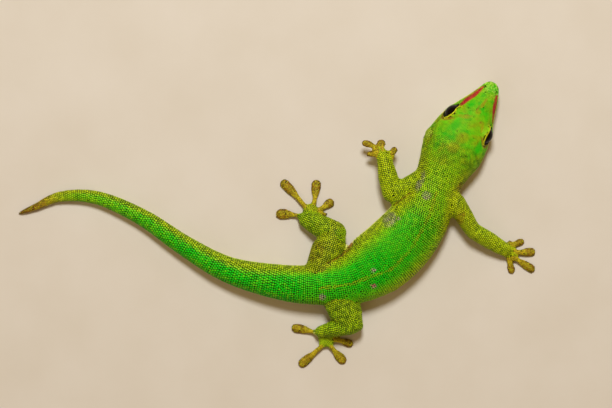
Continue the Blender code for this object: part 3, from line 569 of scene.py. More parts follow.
def eye_place(points, side):
    """How far out a point is round the eye opening, where 1 is its rim, and its distance from the centre."""
    centre, look, forward, top = EYES[side]
    away = points - centre
    ahead, high = away @ forward, away @ top
    long = np.where(ahead > 0, LID_AHEAD * LID_OPENING[0], LID_OPENING[0])
    ring = np.hypot(ahead / long, high / (LID_OPENING[1] * lid_narrow(ahead)))
    return np.where(away @ look > 0, ring, 9.0), np.linalg.norm(away, axis=1)


def ear_place(points, side):
    """How far out a point is round an ear opening, an upright oval whose edge is 1."""
    away = points - EARS[side][0]
    along = away @ TRUNK_STRIP.read("along", EAR_DISTANCE)
    rise = away[:, 2] - 0.25 * along
    return np.where(np.linalg.norm(away, axis=1) < 4, np.hypot(along / EAR_SIZE[0], rise / EAR_SIZE[1]), 9.0)


def mouth_gap(at, up):
    """Height over the mouth line for places on the head."""
    return TRUNK_STRIP.read("middle", at)[:, 2] + up - table_value(MOUTH_LINE, at)


# Meshes

def new_object(name, data):
    obj = bpy.data.objects.new(name, data)
    bpy.context.scene.collection.objects.link(obj)
    return obj


def mesh_from(name, bm):
    mesh = bpy.data.meshes.new(name)
    bm.to_mesh(mesh)
    bm.free()
    return mesh


def apply_modifiers(obj):
    bpy.context.view_layer.update()
    mesh = bpy.data.meshes.new_from_object(obj.evaluated_get(bpy.context.evaluated_depsgraph_get()))
    obj.modifiers.clear()
    obj.data = mesh


def soften(obj, rounds, group=""):
    modifier = obj.modifiers.new("soften", "SMOOTH")
    modifier.iterations, modifier.factor, modifier.vertex_group = rounds, 0.5, group
    apply_modifiers(obj)


def vertex_array(source, word="co"):
    values = np.empty(len(source) * 3, np.float32)
    source.foreach_get(word, values)
    return values.reshape(-1, 3).astype(float)


def surface_of(mesh):
    """The places of a mesh's points in millimetres, and the way they face."""
    return vertex_array(mesh.vertices) / MM, vertex_array(mesh.vertex_normals, "vector")


def set_places(mesh, places):
    mesh.vertices.foreach_set("co", (places * MM).astype(np.float32).ravel())
    mesh.update()


def set_values(mesh, name, values):
    mesh.attributes.new(name, "FLOAT", "POINT").data.foreach_set("value", np.asarray(values, np.float32))


def tree_of(places):
    tree = KDTree(len(places))
    for number, place in enumerate(places):
        tree.insert(place, number)
    tree.balance()
    return tree


# The skin

def joined_solids():
    """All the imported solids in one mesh, welded and grown enough to close the cuts between them."""
    bm = bmesh.new()
    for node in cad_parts.values():
        bm.from_mesh(node.data)
    bmesh.ops.remove_doubles(bm, verts=bm.verts, dist=1e-6)
    bm.normal_update()
    for vert in bm.verts:
        vert.co += vert.normal * GROWN * MM
    return new_object("skin", mesh_from("skin", bm))


def near_features(points, width):
    """True for points near the eye rims, the mouth line, the nostrils and the ears."""
    chosen = np.zeros(len(points), bool)
    rows = np.flatnonzero(distance_to(points[:, :2], EYES[1][0][:2]) < HEAD_END)
    points = points[rows]
    strip, at, angle, up = locate(points)
    head = (strip == 0) & (at < HEAD_END)
    wanted = head & (at < MOUTH_END + 1) & (np.abs(mouth_gap(at, up)) < FINE_MOUTH * width)
    for side in SIDES:
        ring, radius = eye_place(points, side)
        wanted |= head & (np.abs(ring - FINE_LID) < FINE_LID_WIDTH * width) & (radius < EYE_REACH)
        for spots, reach in ((NOSTRILS, FINE_NOSTRIL), (EARS, FINE_EAR)):
            wanted |= distance_to(points, spots[side][0]) < reach * width
    chosen[rows] = wanted
    return chosen


def refine(obj, width):
    """Divides the faces near the features of the head, so that these can be shaped finely."""
    bm = bmesh.new()
    bm.from_mesh(obj.data)
    chosen = near_features(np.array([f.calc_center_median() for f in bm.faces]) / MM, width)
    edges = {e for f, wanted in zip(bm.faces, chosen) if wanted for e in f.edges}
    bmesh.ops.subdivide_edges(bm, edges=list(edges), cuts=1, use_grid_fill=True)
    verts = {v for e in edges if e.is_valid for v in e.verts}
    bmesh.ops.smooth_vert(bm, verts=list(verts), factor=0.5, use_axis_x=True, use_axis_y=True, use_axis_z=True)
    bm.to_mesh(obj.data)
    bm.free()


def shape_head(places, normals):
    """Moves the skin's points to make the eye openings with their lids, the mouth line, nostrils and ears."""
    strip, at, angle, up = locate(places)
    head = (strip == 0) & (at < HEAD_END)
    gap = mouth_gap(at, up)
    fade = (1 - smooth(MOUTH_END - 3, MOUTH_END + 1, at)) * (head & (at < MOUTH_END + 2))
    push = fade * (hump(np.abs(gap), *LIP_RISE) - hump(gap, *MOUTH_GROOVE))
    for side in SIDES:
        far = distance_to(places, NOSTRILS[side][0])
        push += hump(far, *NOSTRIL_RIM) - hump(far, *NOSTRIL_PIT)
        far = ear_place(places, side)
        push += hump(far, *EAR_RIM) - EAR_DEPTH * (1 - smooth(0.55, 1.0, far))
    places = places + normals * push[:, None]
    for side in SIDES:
        centre = EYES[side][0]
        ring, radius = eye_place(places, side)
        near = head & (ring < LID_ENDS[0]) & (radius < LID_ENDS[1])
        rim = np.clip(radius, LID_RADIUS - LID_SLACK, LID_RADIUS + LID_SLACK)
        bowl = radius + (rim - radius) * (1 - smooth(*LID_BLEND, ring))
        bowl = bowl - hump(ring, *LID_FOLD) + hump(ring, *LID_RISE)
        inner = SOCKET_RADIUS + (rim - SOCKET_RADIUS) * smooth(*LID_EDGE, ring)
        wanted = np.where(ring < LID_EDGE[1], inner, bowl)
        away = (places - centre) / np.maximum(radius, 1e-6)[:, None]
        places = np.where(near[:, None], centre + away * wanted[:, None], places)
    return places


def shape_folds(places, normals):
    """Loose skin: upright folds on the left flank, creases where thigh and arm press on the body, a jowl."""
    strip, at, angle, up = locate(places)
    flank = (strip == 0) * band(at, *FLANK_FOLDS) * hump(np.degrees(angle), 1, *FOLD_ANGLES)
    push = FOLD_DEPTH * flank * np.sin(2 * math.pi * at / FOLD_SPACING)
    upper = (normals[:, 2] > 0.05) & (places[:, 2] > 3.0)
    for line, widths, depth, share in CREASES:
        push -= depth * upper * along_line(places, line, widths, 0.0, 1.0)
    push += JOWL_RISE * (strip == 0) * patch(places, *JOWL, 0.5)
    return places + normals * push[:, None]


def fill_pads(places):
    """Widens and lengthens the toe pads to the outline of the solids, from which smoothing has drawn them in."""
    places = places.copy()
    number, at, angle, up = locate(places)
    for row in np.flatnonzero(STRIP_KIND == DIGIT):
        strip, length = STRIPS[row], STRIP_LENGTH[row]
        chosen = np.flatnonzero(number == row)
        far = at[chosen]
        left, along = strip.read("left", far), strip.read("along", far)
        out = ((places[chosen] - strip.read("middle", far)) * left).sum(axis=1)
        share = far / length
        around = (share > PAD_FULL - PAD_BAND[0]) & (share < PAD_FULL + PAD_BAND[1])
        if around.any():
            wide = strip.read("wide", (PAD_FULL + PAD_BAND[0]) * length) - PAD_EDGE
            reach = PAD_REACH * np.percentile(np.abs(out[around]), PAD_PERCENT)
            spread = np.clip(wide / reach, 1.0, 1.6) - 1
            places[chosen] += left * (out * spread * smooth(PAD_BEGINS, PAD_FULL, share))[:, None]
        short = np.clip(length - PAD_EDGE - far.max(), 0, 0.8)
        places[chosen] += along * (short * smooth(0.5, 1.0, share))[:, None]
    return places


def blend_joints(obj):
    """Softens the creases where limbs leave the body and at their bends."""
    places = surface_of(obj.data)[0]
    joints = [joint for limb in LIMBS.values() for joint in limb[0]]
    far = np.min([distance_to(places, joint) for joint in joints], axis=0)
    tenths = np.round((1 - smooth(*BLEND_REACH, far)) * 10)
    group = obj.vertex_groups.new(name="bends")
    for step in range(1, 11):
        group.add(np.flatnonzero(tenths == step).tolist(), step / 10, "REPLACE")
    soften(obj, BLEND_ROUNDS, "bends")
    obj.vertex_groups.clear()


def make_skin():
    """The one skin that stands for every solid of flesh, inside them by the coat's depth."""
    obj = joined_solids()
    remesh = obj.modifiers.new("close", "REMESH")
    remesh.mode, remesh.voxel_size, remesh.adaptivity = "VOXEL", SKIN_CELL * MM, 0.0
    apply_modifiers(obj)
    soften(obj, EVEN_ROUNDS)
    places, normals = surface_of(obj.data)
    thin = STRIP_KIND[locate(places)[0]] >= PALM
    inward = GROWN * np.where(thin, THIN_GROWN, 1.0) + COAT_DEPTH * np.where(thin, THIN_DEPTH, 1.0)
    set_places(obj.data, fill_pads(places - normals * inward[:, None]))
    blend_joints(obj)
    for width in FINE_ROUNDS:
        refine(obj, width)
    places, normals = surface_of(obj.data)
    places = shape_folds(shape_head(places, normals), normals)
    places[:, 2] = np.maximum(places[:, 2], REST_DEPTH)
    set_places(obj.data, places)
    obj.data.shade_smooth()
    return obj


# Scales

SCALE = np.dtype([("place", float, 3), ("facing", float, 3), ("along", float, 3), ("long", float), ("broad", float),
                  ("rise", float), ("strip", int), ("at", float), ("angle", float), ("space", float)])


def entries(*values):
    """Scales from their places and other values, one for all or one for each."""
    scales = np.empty(len(values[0]), SCALE)
    for word, value in zip(SCALE.names, values):
        scales[word] = value
    return scales


def on_skin(points, reach):
    """The nearest places of the skin to some points, with its facing there; True where one is in reach."""
    places, facing, found = np.array(points, float), np.zeros((len(points), 3)), np.zeros(len(points), bool)
    for row, point in enumerate(points):
        place, normal, face, distance = skin_tree.find_nearest(point, reach)
        if place is not None:
            places[row], found[row] = place, True
            facing[row] = skin_normals[skin_points.find(place)[1]]
            if facing[row] @ normal < 0.7:
                facing[row] = normal
    return places, facing, found


def lip_half(at):
    """Half the height of a lip plate at a distance from the snout tip."""
    return LIP_HIGH[0] - LIP_HIGH[1] * at


def kept_clear(points, at, up, strip):
    """True where no common scale grows: eyes, mouth line with its lip plates, nostrils and ears."""
    head = (strip == 0) & (at < HEAD_END + 2)
    clear = np.abs(mouth_gap(at, up)) < np.where(at < LIP_END - 0.5, 0.1 + 2 * lip_half(at), 0.3)
    clear &= head & (at < MOUTH_END)
    for side in SIDES:
        ring, radius = eye_place(points, side)
        clear |= head & (ring < CLEAR_LID) & (radius < 5.2)
        clear |= distance_to(points, NOSTRILS[side][0]) < CLEAR_NOSTRIL
        clear |= ear_place(points, side) < CLEAR_EAR
    return clear


def belly_share(strip, angle):
    degrees = np.degrees(angle)
    return smooth(*BELLY_LEFT, degrees) * smooth(*BELLY_RIGHT, degrees) * (strip == 0)


def pitch_at(strip, at, angle):
    return strip_values("pitch", strip, at) * (1 + BELLY_SPACING * belly_share(strip, angle))


def common_sizes(strip, at, angle, pitch):
    """Length, breadth and rise of common scales: beads on back and limbs, broad flat ones below."""
    degrees, below, body = np.degrees(angle), belly_share(strip, angle), strip == 0
    crown = body * (1 - smooth(*CROWN_ENDS, at)) * band(degrees, *CROWN_ANGLES)
    tail = body * smooth(*TAIL_BEGINS, at)
    loose = np.where(body, smooth(*LOOSE_LEFT, degrees) + smooth(*LOOSE_RIGHT, degrees), LIMBS_LOOSE)
    loose = loose * (1 - below) * (at > LOOSE_BEGINS)
    radius = 0.5 * pitch * (FILLED - LOOSE * loose)
    long, broad = (radius * (1.0 + more * tail + wider * below) for more, wider in zip(TAIL_STRETCH, BELLY_STRETCH))
    flat = (1 - CROWN_FLAT * crown - BELLY_FLAT * below) * (1 - DIGIT_FLAT * (STRIP_KIND[strip] == DIGIT))
    return long, broad, SCALE_RISE * pitch * flat


def described(places, facing, wanted=None):
    """Scales of the common kind at places of the skin, or only those on one strip."""
    strip, at, angle, up = locate(places)
    keep = ~kept_clear(places, at, up, strip) & (places[:, 2] > 0.0)
    if wanted is not None:
        keep &= strip == wanted
    places, facing, strip, at, angle = (values[keep] for values in (places, facing, strip, at, angle))
    pitch = pitch_at(strip, at, angle)
    long, broad, rise = common_sizes(strip, at, angle, pitch)
    vary = chance.normal(0, SIZE_SPREAD, (3, len(places)))
    return entries(places, facing, strip_values("along", strip, at), long * (1 + vary[0]), broad * (1 + vary[1]),
                   rise * (1 + 2 * vary[2]), strip, at, angle, 0.5 * pitch)


def rows_of(number):
    """Rows of scales round one strip, every other row shifted by half a scale."""
    strip = STRIPS[number]
    rounds = np.linspace(-math.pi / 2, 1.5 * math.pi, 73)
    at, turn, points = strip.at[0] + ROW_FIRST, 0, []
    while at < strip.at[-1]:
        pitch = strip.read("pitch", at)
        arc = lengths_along(strip.ring(at, rounds)[0])
        count = max(ROW_LEAST, round(arc[-1] / pitch))
        chosen = np.interp((np.arange(count) + 0.5 * (turn % 2)) / count * arc[-1], arc, rounds)
        points.append(strip.ring(at, chosen)[0])
        at, turn = at + pitch * ROW_SHARE, turn + 1
    points = np.vstack(points)
    points = points + chance.normal(0, ROW_JITTER, points.shape)
    places, facing, found = on_skin(points, STRIP_REACH[strip.kind])
    return described(places[found], facing[found], number)


def set_scales(points, reach, along, long, broad, rise, space, where=None):
    """Scales of given sizes on the skin nearest to some points."""
    places, facing, found = on_skin(points, reach)
    strip, at, angle = where or locate(places)[:3]
    return entries(places, facing, along, long, broad, rise, strip, at, angle, space)[found]


def lip_plates():
    """The row of plates over and under the mouth line on each side, smaller towards its corner."""
    plates = []
    for side, row in product(SIDES, (1, -1)):
        at = LIP_STARTS[row]
        while at < LIP_END:
            long, broad = LIP_LONG[0] - LIP_LONG[1] * at, lip_half(at)
            height = table_value(MOUTH_LINE, at) + row * (broad + LIP_OFF)
            middle = TRUNK_STRIP.read("middle", at)[2]
            tall = TRUNK_STRIP.read("above" if height > middle else "below", at)
            share = np.clip((height - middle) / tall, -0.98, 0.98)
            across = (1 - abs(share) ** FULLNESS) ** (1 / FULLNESS) * TRUNK_STRIP.read("wide", at)
            plates.append([*body_place(at, side * across, height), *TRUNK_STRIP.read("along", at), long, broad])
            at += 1.75 * long * (0.6 if at < 2 else 1)
    plates = np.array(plates)
    long, broad = plates[:, 6], plates[:, 7]
    return set_scales(plates[:, :3], 1.5, plates[:, 3:6], long, broad, LIP_OFF, 0.5 * (long + broad))


def lid_beads():
    """Rings of small beads round each eye opening."""
    sets = []
    for side, (ring, shift) in product(SIDES, LID_RINGS):
        centre, look, forward, top = EYES[side]
        turns = (np.arange(LID_BEADS) + shift) / LID_BEADS * 2 * math.pi
        c, s = np.cos(turns), np.sin(turns)
        ahead = c * np.where(c > 0, LID_AHEAD, 1.0) * LID_OPENING[0] * ring
        high = s * LID_OPENING[1] * ring * lid_narrow(ahead)
        depth = np.sqrt(np.maximum(4.5 ** 2 - (ahead ** 2 + high ** 2), 0.3))
        points = centre + ahead[:, None] * forward + high[:, None] * top + depth[:, None] * look
        round_eye = c[:, None] * top * LID_OPENING[1] - s[:, None] * forward * LID_OPENING[0]
        sets.append(set_scales(points, 1.2, unit(round_eye), *LID_BEAD))
    return np.concatenate(sets)


def pad_plates():
    """The broad flat plates across the underside of every toe pad."""
    sets = []
    for number in np.flatnonzero(STRIP_KIND == DIGIT):
        strip, length = STRIPS[number], STRIP_LENGTH[number]
        at = np.arange(PLATES_BEGIN * length, length - 0.5, PLATE_SPACING)
        points = strip.read("middle", at) - 1.2 * strip.read("below", at)[:, None] * strip.read("up", at)
        broad = PLATE_SHARE * strip.read("wide", at)
        sets.append(set_scales(points, 1.0, strip.read("along", at), PLATE_LONG, broad, PLATE_RISE, PLATE_SPACE,
                               (number, at, -math.pi / 2)))
    return np.concatenate(sets)


class Crowd:
    """Scales already placed, in cells of a grid, so that a new one keeps its distance."""

    def __init__(self):
        self.held = {}

    def takes(self, place, size, share):
        """Adds a scale where there is room for it, and says whether there was."""
        x, y, z = (math.floor(v / CROWD_CELL) for v in place)
        for i, j, k in product((x - 1, x, x + 1), (y - 1, y, y + 1), (z - 1, z, z + 1)):
            for other, wide in self.held.get((i, j, k), ()):
                if math.dist(place, other) < share * (size + wide):
                    return False
        self.held.setdefault((x, y, z), []).append((place, size))
        return True


def grown_coat():
    """All scales: plates and beads with set places first, then rows, then what fills the rest."""
    crowd, kept = Crowd(), []

    def take(scales, share):
        spots = zip(scales["place"].tolist(), scales["space"].tolist())
        kept.append(scales[[row for row, spot in enumerate(spots) if crowd.takes(*spot, share)]])

    take(lip_plates(), LIP_ROOM)
    take(lid_beads(), LID_ROOM)
    take(pad_plates(), PAD_ROOM)
    fixed = sum(map(len, kept))
    for number in range(len(STRIPS)):
        take(rows_of(number), ROW_ROOM)
    tree = tree_of(np.concatenate(kept)["place"])
    gaps = np.array([tree.find(place)[2] for place in skin_places]) / pitch_at(*locate(skin_places)[:3])
    empty = np.flatnonzero(gaps > BARE_FROM)
    empty = empty[np.argsort(-gaps[empty])]
    take(described(skin_places[empty], skin_normals[empty]), REST_ROOM)
    return evened(np.concatenate(kept), fixed)


def evened(scales, fixed):
    """Moves crowded scales apart along the skin, so that rows of different lengths meet evenly."""
    places, space = scales["place"].copy(), scales["space"]
    for step in range(EVENING_STEPS):
        tree = tree_of(places)
        near = np.array([[hit[1] for hit in tree.find_n(place, NEIGHBOURS)][1:] for place in places[fixed:]])
        away = places[fixed:, None] - places[near]
        far = np.maximum(np.linalg.norm(away, axis=2), 1e-3)
        wanted = EVENING_SPACE * (space[fixed:, None] + space[near])
        push = np.clip(1 - far / wanted, 0, 0.5) * wanted / far
        places[fixed:] += EVENING_SHARE * (away * push[..., None]).sum(axis=1)
        places[fixed:] = on_skin(places[fixed:], EVENING_REACH)[0]
    moved, facing, found = on_skin(places[fixed:], EVENING_REACH)
    return np.concatenate([scales[:fixed], described(moved, facing)])


def scale_form():
    """One scale lying on z = 0 with radius 1 and height 1, sunk a little below."""
    bm = bmesh.new()
    bmesh.ops.create_cone(bm, cap_ends=True, segments=SCALE_SIDES, radius1=1.0, radius2=1.0, depth=1.0)
    top = max(bm.faces, key=lambda f: f.calc_center_median().z)
    bmesh.ops.inset_region(bm, faces=[top], thickness=0.1, use_boundary=True)
    bmesh.ops.poke(bm, faces=[top], offset=0.0)
    for vert in bm.verts:
        far = vert.co.xy.length
        level, radius = SCALE_RINGS[0 if vert.co.z < 0 else 1 if far > 0.97 else 2 if far > 0.1 else 3]
        vert.co = vert.co.x * radius / max(far, 0.1), vert.co.y * radius / max(far, 0.1), level
    bmesh.ops.recalc_face_normals(bm, faces=bm.faces)
    return mesh_from("scale form", bm)


def form_corners(form, shape):
    """The form's corners, where its faces start, and its small patch of the bake map."""
    corners = [(k, face.normal.z < -0.5) for face in form.polygons for k in face.vertices]
    starts = np.array([face.loop_start for face in form.polygons])
    uv = [shape[k, :2] * 0.0003 + UV_CELL if below else shape[k, :2] * UV_CELL for k, below in corners]
    return np.array([k for k, below in corners]), starts, np.array(uv)


def root_uv(scales):
    """Each scale's root on an unwrap of its strips, one band for each, over the whole of the map."""
    uv = np.empty((len(scales), 2))
    numbers = np.unique(scales["strip"])
    for level, number in enumerate(numbers):
        rows = scales["strip"] == number
        at = scales["at"][rows]
        uv[rows, 0] = 0.02 + 0.96 * (at - at.min()) / max(np.ptp(at), 0.1)
        round_share = (scales["angle"][rows] + math.pi) / (2 * math.pi)
        uv[rows, 1] = (level + 0.06 + 0.88 * round_share) / len(numbers)
    return uv


def stamped(name, scales, form):
    """One mesh with the form repeated at each scale's place, bent to the skin where it is large."""
    shape = vertex_array(form.vertices)
    count, size = len(scales), len(shape)
    long, broad, rise = (scales[key][:, None] for key in ("long", "broad", "rise"))
    across = unit(np.cross(scales["facing"], scales["along"]))
    ahead = np.cross(across, scales["facing"])
    turn = np.where(scales["long"] > 1.6 * scales["broad"], 0.0, chance.uniform(-0.5, 0.5, count))
    c, s = np.cos(turn)[:, None], np.sin(turn)[:, None]
    x, y = shape[:, 0] * c - shape[:, 1] * s, shape[:, 0] * s + shape[:, 1] * c
    places = (scales["place"][:, None, :] + (x * long)[..., None] * ahead[:, None]
              + (y * broad)[..., None] * across[:, None])
    for row in np.flatnonzero(np.maximum(scales["long"], scales["broad"]) > BENT_SIZE):
        for k in range(size):
            place = skin_tree.find_nearest(places[row, k], 1.5)[0]
            if place is not None:
                places[row, k] = place
    places = (places + (shape[None, :, 2] * rise)[..., None] * scales["facing"][:, None]).reshape(-1, 3)
    places[:, 2] = np.maximum(places[:, 2], 0.0)
    corners, starts, corner_uv = form_corners(form, shape)
    number = np.arange(count)[:, None]
    mesh = bpy.data.meshes.new(name)
    mesh.vertices.add(len(places))
    mesh.loops.add(len(corners) * count)
    mesh.polygons.add(len(starts) * count)
    mesh.vertices.foreach_set("co", (places * MM).astype(np.float32).ravel())
    mesh.loops.foreach_set("vertex_index", (corners + size * number).ravel().astype(np.int32))
    mesh.polygons.foreach_set("loop_start", (starts + len(corners) * number).ravel().astype(np.int32))
    mesh.update(calc_edges=True)
    mesh.validate()
    mesh.shade_smooth()
    uv = (root_uv(scales)[:, None] + corner_uv).astype(np.float32)
    mesh.uv_layers.new(name="OFBake").data.foreach_set("uv", uv.ravel())
    set_values(mesh, "rise", np.tile(np.clip(shape[:, 2], 0, 1), count))
    set_values(mesh, "grain", np.repeat(chance.uniform(0, 1, count), size))
    for word, values in markings(*(scales[key] for key in ("place", "strip", "at", "angle"))).items():
        set_values(mesh, word, np.repeat(values, size))
    return new_object(name, mesh)


# Markings, the same for the skin and for the scales

def along_line(points, line, widths, full=0.8, none=1.25):
    """1 on a line drawn on the back and 0 off it, with the line's half width at its points."""
    line = np.array(line, float)
    best = np.full(len(points), 9.0)
    for start, end, w0, w1 in zip(line[:-1], line[1:], widths[:-1], widths[1:]):
        step = end - start
        share = np.clip(((points[:, :2] - start) @ step) / (step @ step), 0, 1)
        far = np.linalg.norm(points[:, :2] - start - share[:, None] * step, axis=1)
        best = np.minimum(best, far / (w0 + share * (w1 - w0)))
    return 1 - smooth(full, none, best)


def patch(points, x, y, long, broad, turn, edge=0.35):
    """1 inside an oval on the back with a soft edge, turned by some degrees."""
    c, s = math.cos(math.radians(turn)), math.sin(math.radians(turn))
    dx, dy = points[:, 0] - x, points[:, 1] - y
    far = np.hypot((dx * c + dy * s) / long, (dy * c - dx * s) / broad)
    return 1 - smooth(1 - edge, 1 + edge, far)


def markings(points, strip, at, angle):
    """Shares of every paint at places of the skin."""
    degrees, height = np.degrees(angle), points[:, 2]
    body, limb, palm, digit = (STRIP_KIND[strip] == kind for kind in (BODY, LIMB, PALM, DIGIT))
    paint = {word: np.zeros(len(points)) for word in MARKS}
    region = {word: body * band(at, *levels) for word, levels in REGIONS.items()}

    def lay(word, share):
        paint[word] = np.maximum(paint[word], share)

    def lay_patches(word, where, table, edge=0.35):
        for *oval, share in table:
            lay(word, share * where * patch(points, *oval, edge))

    def added(shares):
        return sum(share * region[word] for word, share in shares.items())

    # The flanks, the crown, and what is seen from above
    upper = np.where(body, band(degrees, *UPPER_ANGLES), 1.0)
    left = body * smooth(*LEFT_FLANK, degrees - LEFT_HIGHER[0] * smooth(*LEFT_HIGHER[1:], at))
    right = body * smooth(*RIGHT_FLANK, degrees) * (1 - RIGHT_LOSS[0] * smooth(*RIGHT_LOSS[1:], at))
    for flank, share in (("left", left), ("right", right), ("side", np.maximum(left, right))):
        region |= {f"{word} {flank}": region[word] * share for word in ("neck", "trunk", "tail")}
    region |= {"all": 1.0, "limb": limb, "digit": digit}
    region["nape"] = region["nape"] * (0.45 + 0.55 * np.maximum(left, right))
    region["crown"] = region["face"] * region["head"] * band(degrees, 18, 36, 144, 162)
    high, top = ((body | limb) * smooth(*levels, height) for levels in (HIGH_LEVELS, TOP_LEVELS))
    jowl = body * patch(points, *JOWL)

    # Broad washes
    paint["green"] = np.clip(table_value(VIVID, at) * body * (1 - 0.7 * left - 0.4 * right), 0, 1)
    lay_patches("green", body, EMERALD, 0.6)
    paint["yellow"] = np.clip(added(YELLOW_SHARES) + YELLOW_OF[strip], 0, 1)
    lay("yellow", 0.7 * jowl)
    paint["olive"] = digit + 0.15 * palm + 0.85 * region["end"]
    pad = digit * smooth(PAD_BEGINS, PAD_FULL, at / STRIP_LENGTH[strip])
    rim = smooth(*PAD_RIM, np.abs(np.cos(angle)))
    paint["brown"] = 0.9 * region["tip"] + pad * (0.52 + 0.4 * rim) + BROWN_OF[strip]
    paint["mottle"] = np.clip(region["head"] + 0.25 * region["trunk"], 0, 1) * upper
    paint["cream"] = (1 - upper) * region["cream"]
    lay("cream", 0.55 * (~body & (angle < -0.6) & (angle > -2.5)))
    paint["pale"] = np.maximum(0.25 * region["nose"] * upper, 0.4 * jowl)

    # Stripes, spots and creases
    for line, widths in RED_STRIPES:
        lay("red", band(degrees, 6, 20, 160, 174) * along_line(points, line, widths) * (at < 26) * body)
    lay_patches("red", upper * body, RED_SPOT)
    lay_patches("lilac", upper * body, LILAC)
    lay_patches("ochre", top, OCHRE)
    lay_patches("brown", top, RUST)
    # Painted shade: brown laid along the creases where the thigh, the arm and the jowl fold against the body
    for line, widths, depth, share in CREASES:
        lay("brown", share * high * along_line(points, line, widths, 0.2, 0.7))
    lay("ochre", 0.36 * upper * body * along_line(points, VERTEBRAL, [0.6] * len(VERTEBRAL)))
    for side in SIDES:
        ring, radius = eye_place(points, side)
        near = body & (radius < EYE_REACH) & (ring < 2)
        centre, look, forward, above = EYES[side]
        lay("lemon", near * smooth(*LEMON_RINGS, ring) * smooth(*LEMON_RISE, (points - centre) @ above))
        rear = smooth(*LID_BROWN_REAR, -((points - centre) @ forward))
        lay("brown", near * 0.8 * rear * smooth(*LID_BROWN_RINGS, ring))
        lay("dark", near & (ring < DARK_RING))

    # How much single scales vary, and how dark it is between them: their dark skin together with painted shade
    region |= {"green": paint["green"], "belly": paint["cream"]}
    paint["speckle"] = np.clip(added(SPECKLE_SHARES), 0, 1)
    off_mouth = np.abs(height - table_value(MOUTH_LINE, at))
    lips = region["lips"] * smooth(*LIPS_END, off_mouth) * smooth(*LIPS_BEGIN, off_mouth)
    gap = added(GAP_SHARES) + GAP_OF[strip]
    paint["gap"] = np.clip(gap * (1 - 0.8 * paint["cream"]) * (1 - 0.65 * lips), 0, 1)
    return paint


# Materials

def paint_of(word):
    """A colour as the shader takes it, from its screen values."""
    parts = [value / 255 for value in COLOURS[word]]
    return *[v / 12.92 if v <= 0.04045 else ((v + 0.055) / 1.055) ** 2.4 for v in parts], 1.0


def new_material(name):
    material = bpy.data.materials.new(name)
    material.use_nodes = True
    return material, material.node_tree, material.node_tree.nodes["Principled BSDF"]


def feed(tree, sockets, values):
    """Links each value that is a socket, and sets the others."""
    for socket, value in zip(sockets, values):
        if isinstance(value, bpy.types.NodeSocket):
            tree.links.new(value, socket)
        else:
            socket.default_value = value


def math_node(tree, operation, first, second, clamp=False):
    node = tree.nodes.new("ShaderNodeMath")
    node.operation, node.use_clamp = operation, clamp
    feed(tree, node.inputs, (first, second))
    return node.outputs[0]


def mix_node(tree, share, first, second, blend="MIX"):
    node = tree.nodes.new("ShaderNodeMix")
    node.data_type, node.blend_type = "RGBA", blend
    feed(tree, (node.inputs[0], node.inputs[6], node.inputs[7]), (share, first, second))
    return node.outputs[2]


def attribute(tree, name):
    node = tree.nodes.new("ShaderNodeAttribute")
    node.attribute_name = name
    return node.outputs["Fac"]


def noise(tree, word):
    """One of the noises, on the object's own coordinates."""
    place, node = tree.nodes.new("ShaderNodeTexCoord"), tree.nodes.new("ShaderNodeTexNoise")
    sockets = (node.inputs[name] for name in ("Vector", "Scale", "Detail", "Roughness"))
    feed(tree, sockets, (place.outputs["Object"], *NOISES[word]))
    return node.outputs["Fac"]


def span(tree, value, low, high, to_low=0.0, to_high=1.0):
    node = tree.nodes.new("ShaderNodeMapRange")
    feed(tree, node.inputs[:5], (value, low, high, to_low, to_high))
    return node.outputs[0]


def gecko_paint():
    """Every paint of the living skin laid over the lime ground by its share, darker between the scales by their dark
    skin and painted shade, with a painted highlight on their tops.
    """
    group = bpy.data.node_groups.new("day gecko paint", "ShaderNodeTree")
    group.interface.new_socket("Between", in_out="INPUT", socket_type="NodeSocketFloat").default_value = 0.5
    for word, kind in (("Color", "NodeSocketColor"), ("Roughness", "NodeSocketFloat")):
        group.interface.new_socket(word, in_out="OUTPUT", socket_type=kind)
    entry, out = group.nodes.new("NodeGroupInput"), group.nodes.new("NodeGroupOutput")

    def times(first, second, clamp=True):
        return math_node(group, "MULTIPLY", first, second, clamp)

    broad, middle, fine = (noise(group, word) for word in ("broad", "middle", "fine"))
    grain, gap, rise = (attribute(group, word) for word in ("grain", "gap", "rise"))
    color = mix_node(group, span(group, broad, 0.35, 0.65), paint_of("ground"), paint_of("ground warm"))
    mottle = attribute(group, "mottle")
    for word, low, high, most in (("green", 0.5, 0.64, 0.8), ("ochre", 0.48, 0.34, 0.55)):
        color = mix_node(group, times(mottle, span(group, middle, low, high, 0, most)), color, paint_of(word))
    by = {"broad": broad, "fine": fine, "grain": grain}
    for word in PAINT_ORDER:
        share = attribute(group, word)
        if word in UNEVEN:
            source, *levels = UNEVEN[word]
            share = times(share, span(group, by[source], *levels))
        color = mix_node(group, share, color, paint_of(word))
    # Single scales lighter or darker at random, by their own tone
    light = times(math_node(group, "SUBTRACT", grain, 0.5), attribute(group, "speckle"), False)
    for limit, strength, word in (("MAXIMUM", 1.2, "bright_scale_and_painted_highlight"), ("MINIMUM", -1.5, "shade")):
        color = mix_node(group, times(math_node(group, limit, light, 0.0), strength), color, paint_of(word))
    # Painted shade: the skin between the scales and the lower sides of every scale darken, partly by their own dark
    # skin
    level = times(gap, span(group, noise(group, "between"), 0.35, 0.65, 0.88, 1.12), False)
    sunk = times(times(math_node(group, "SUBTRACT", level, rise), SINK), entry.outputs["Between"])
    color = mix_node(group, sunk, color, paint_of("between"))
    # Painted highlight: the top of every scale is lightened toward the bright colour, as light falling on it would do
    painted_crest_highlight = times(span(group, rise, 0.55, 1.0, 0.0, 0.75), gap)
    color = mix_node(group, painted_crest_highlight, color, paint_of("bright_scale_and_painted_highlight"), "SOFT_LIGHT")
    feed(group, out.inputs, (color, span(group, fine, 0.2, 0.8, 0.52, 0.4)))
    return group


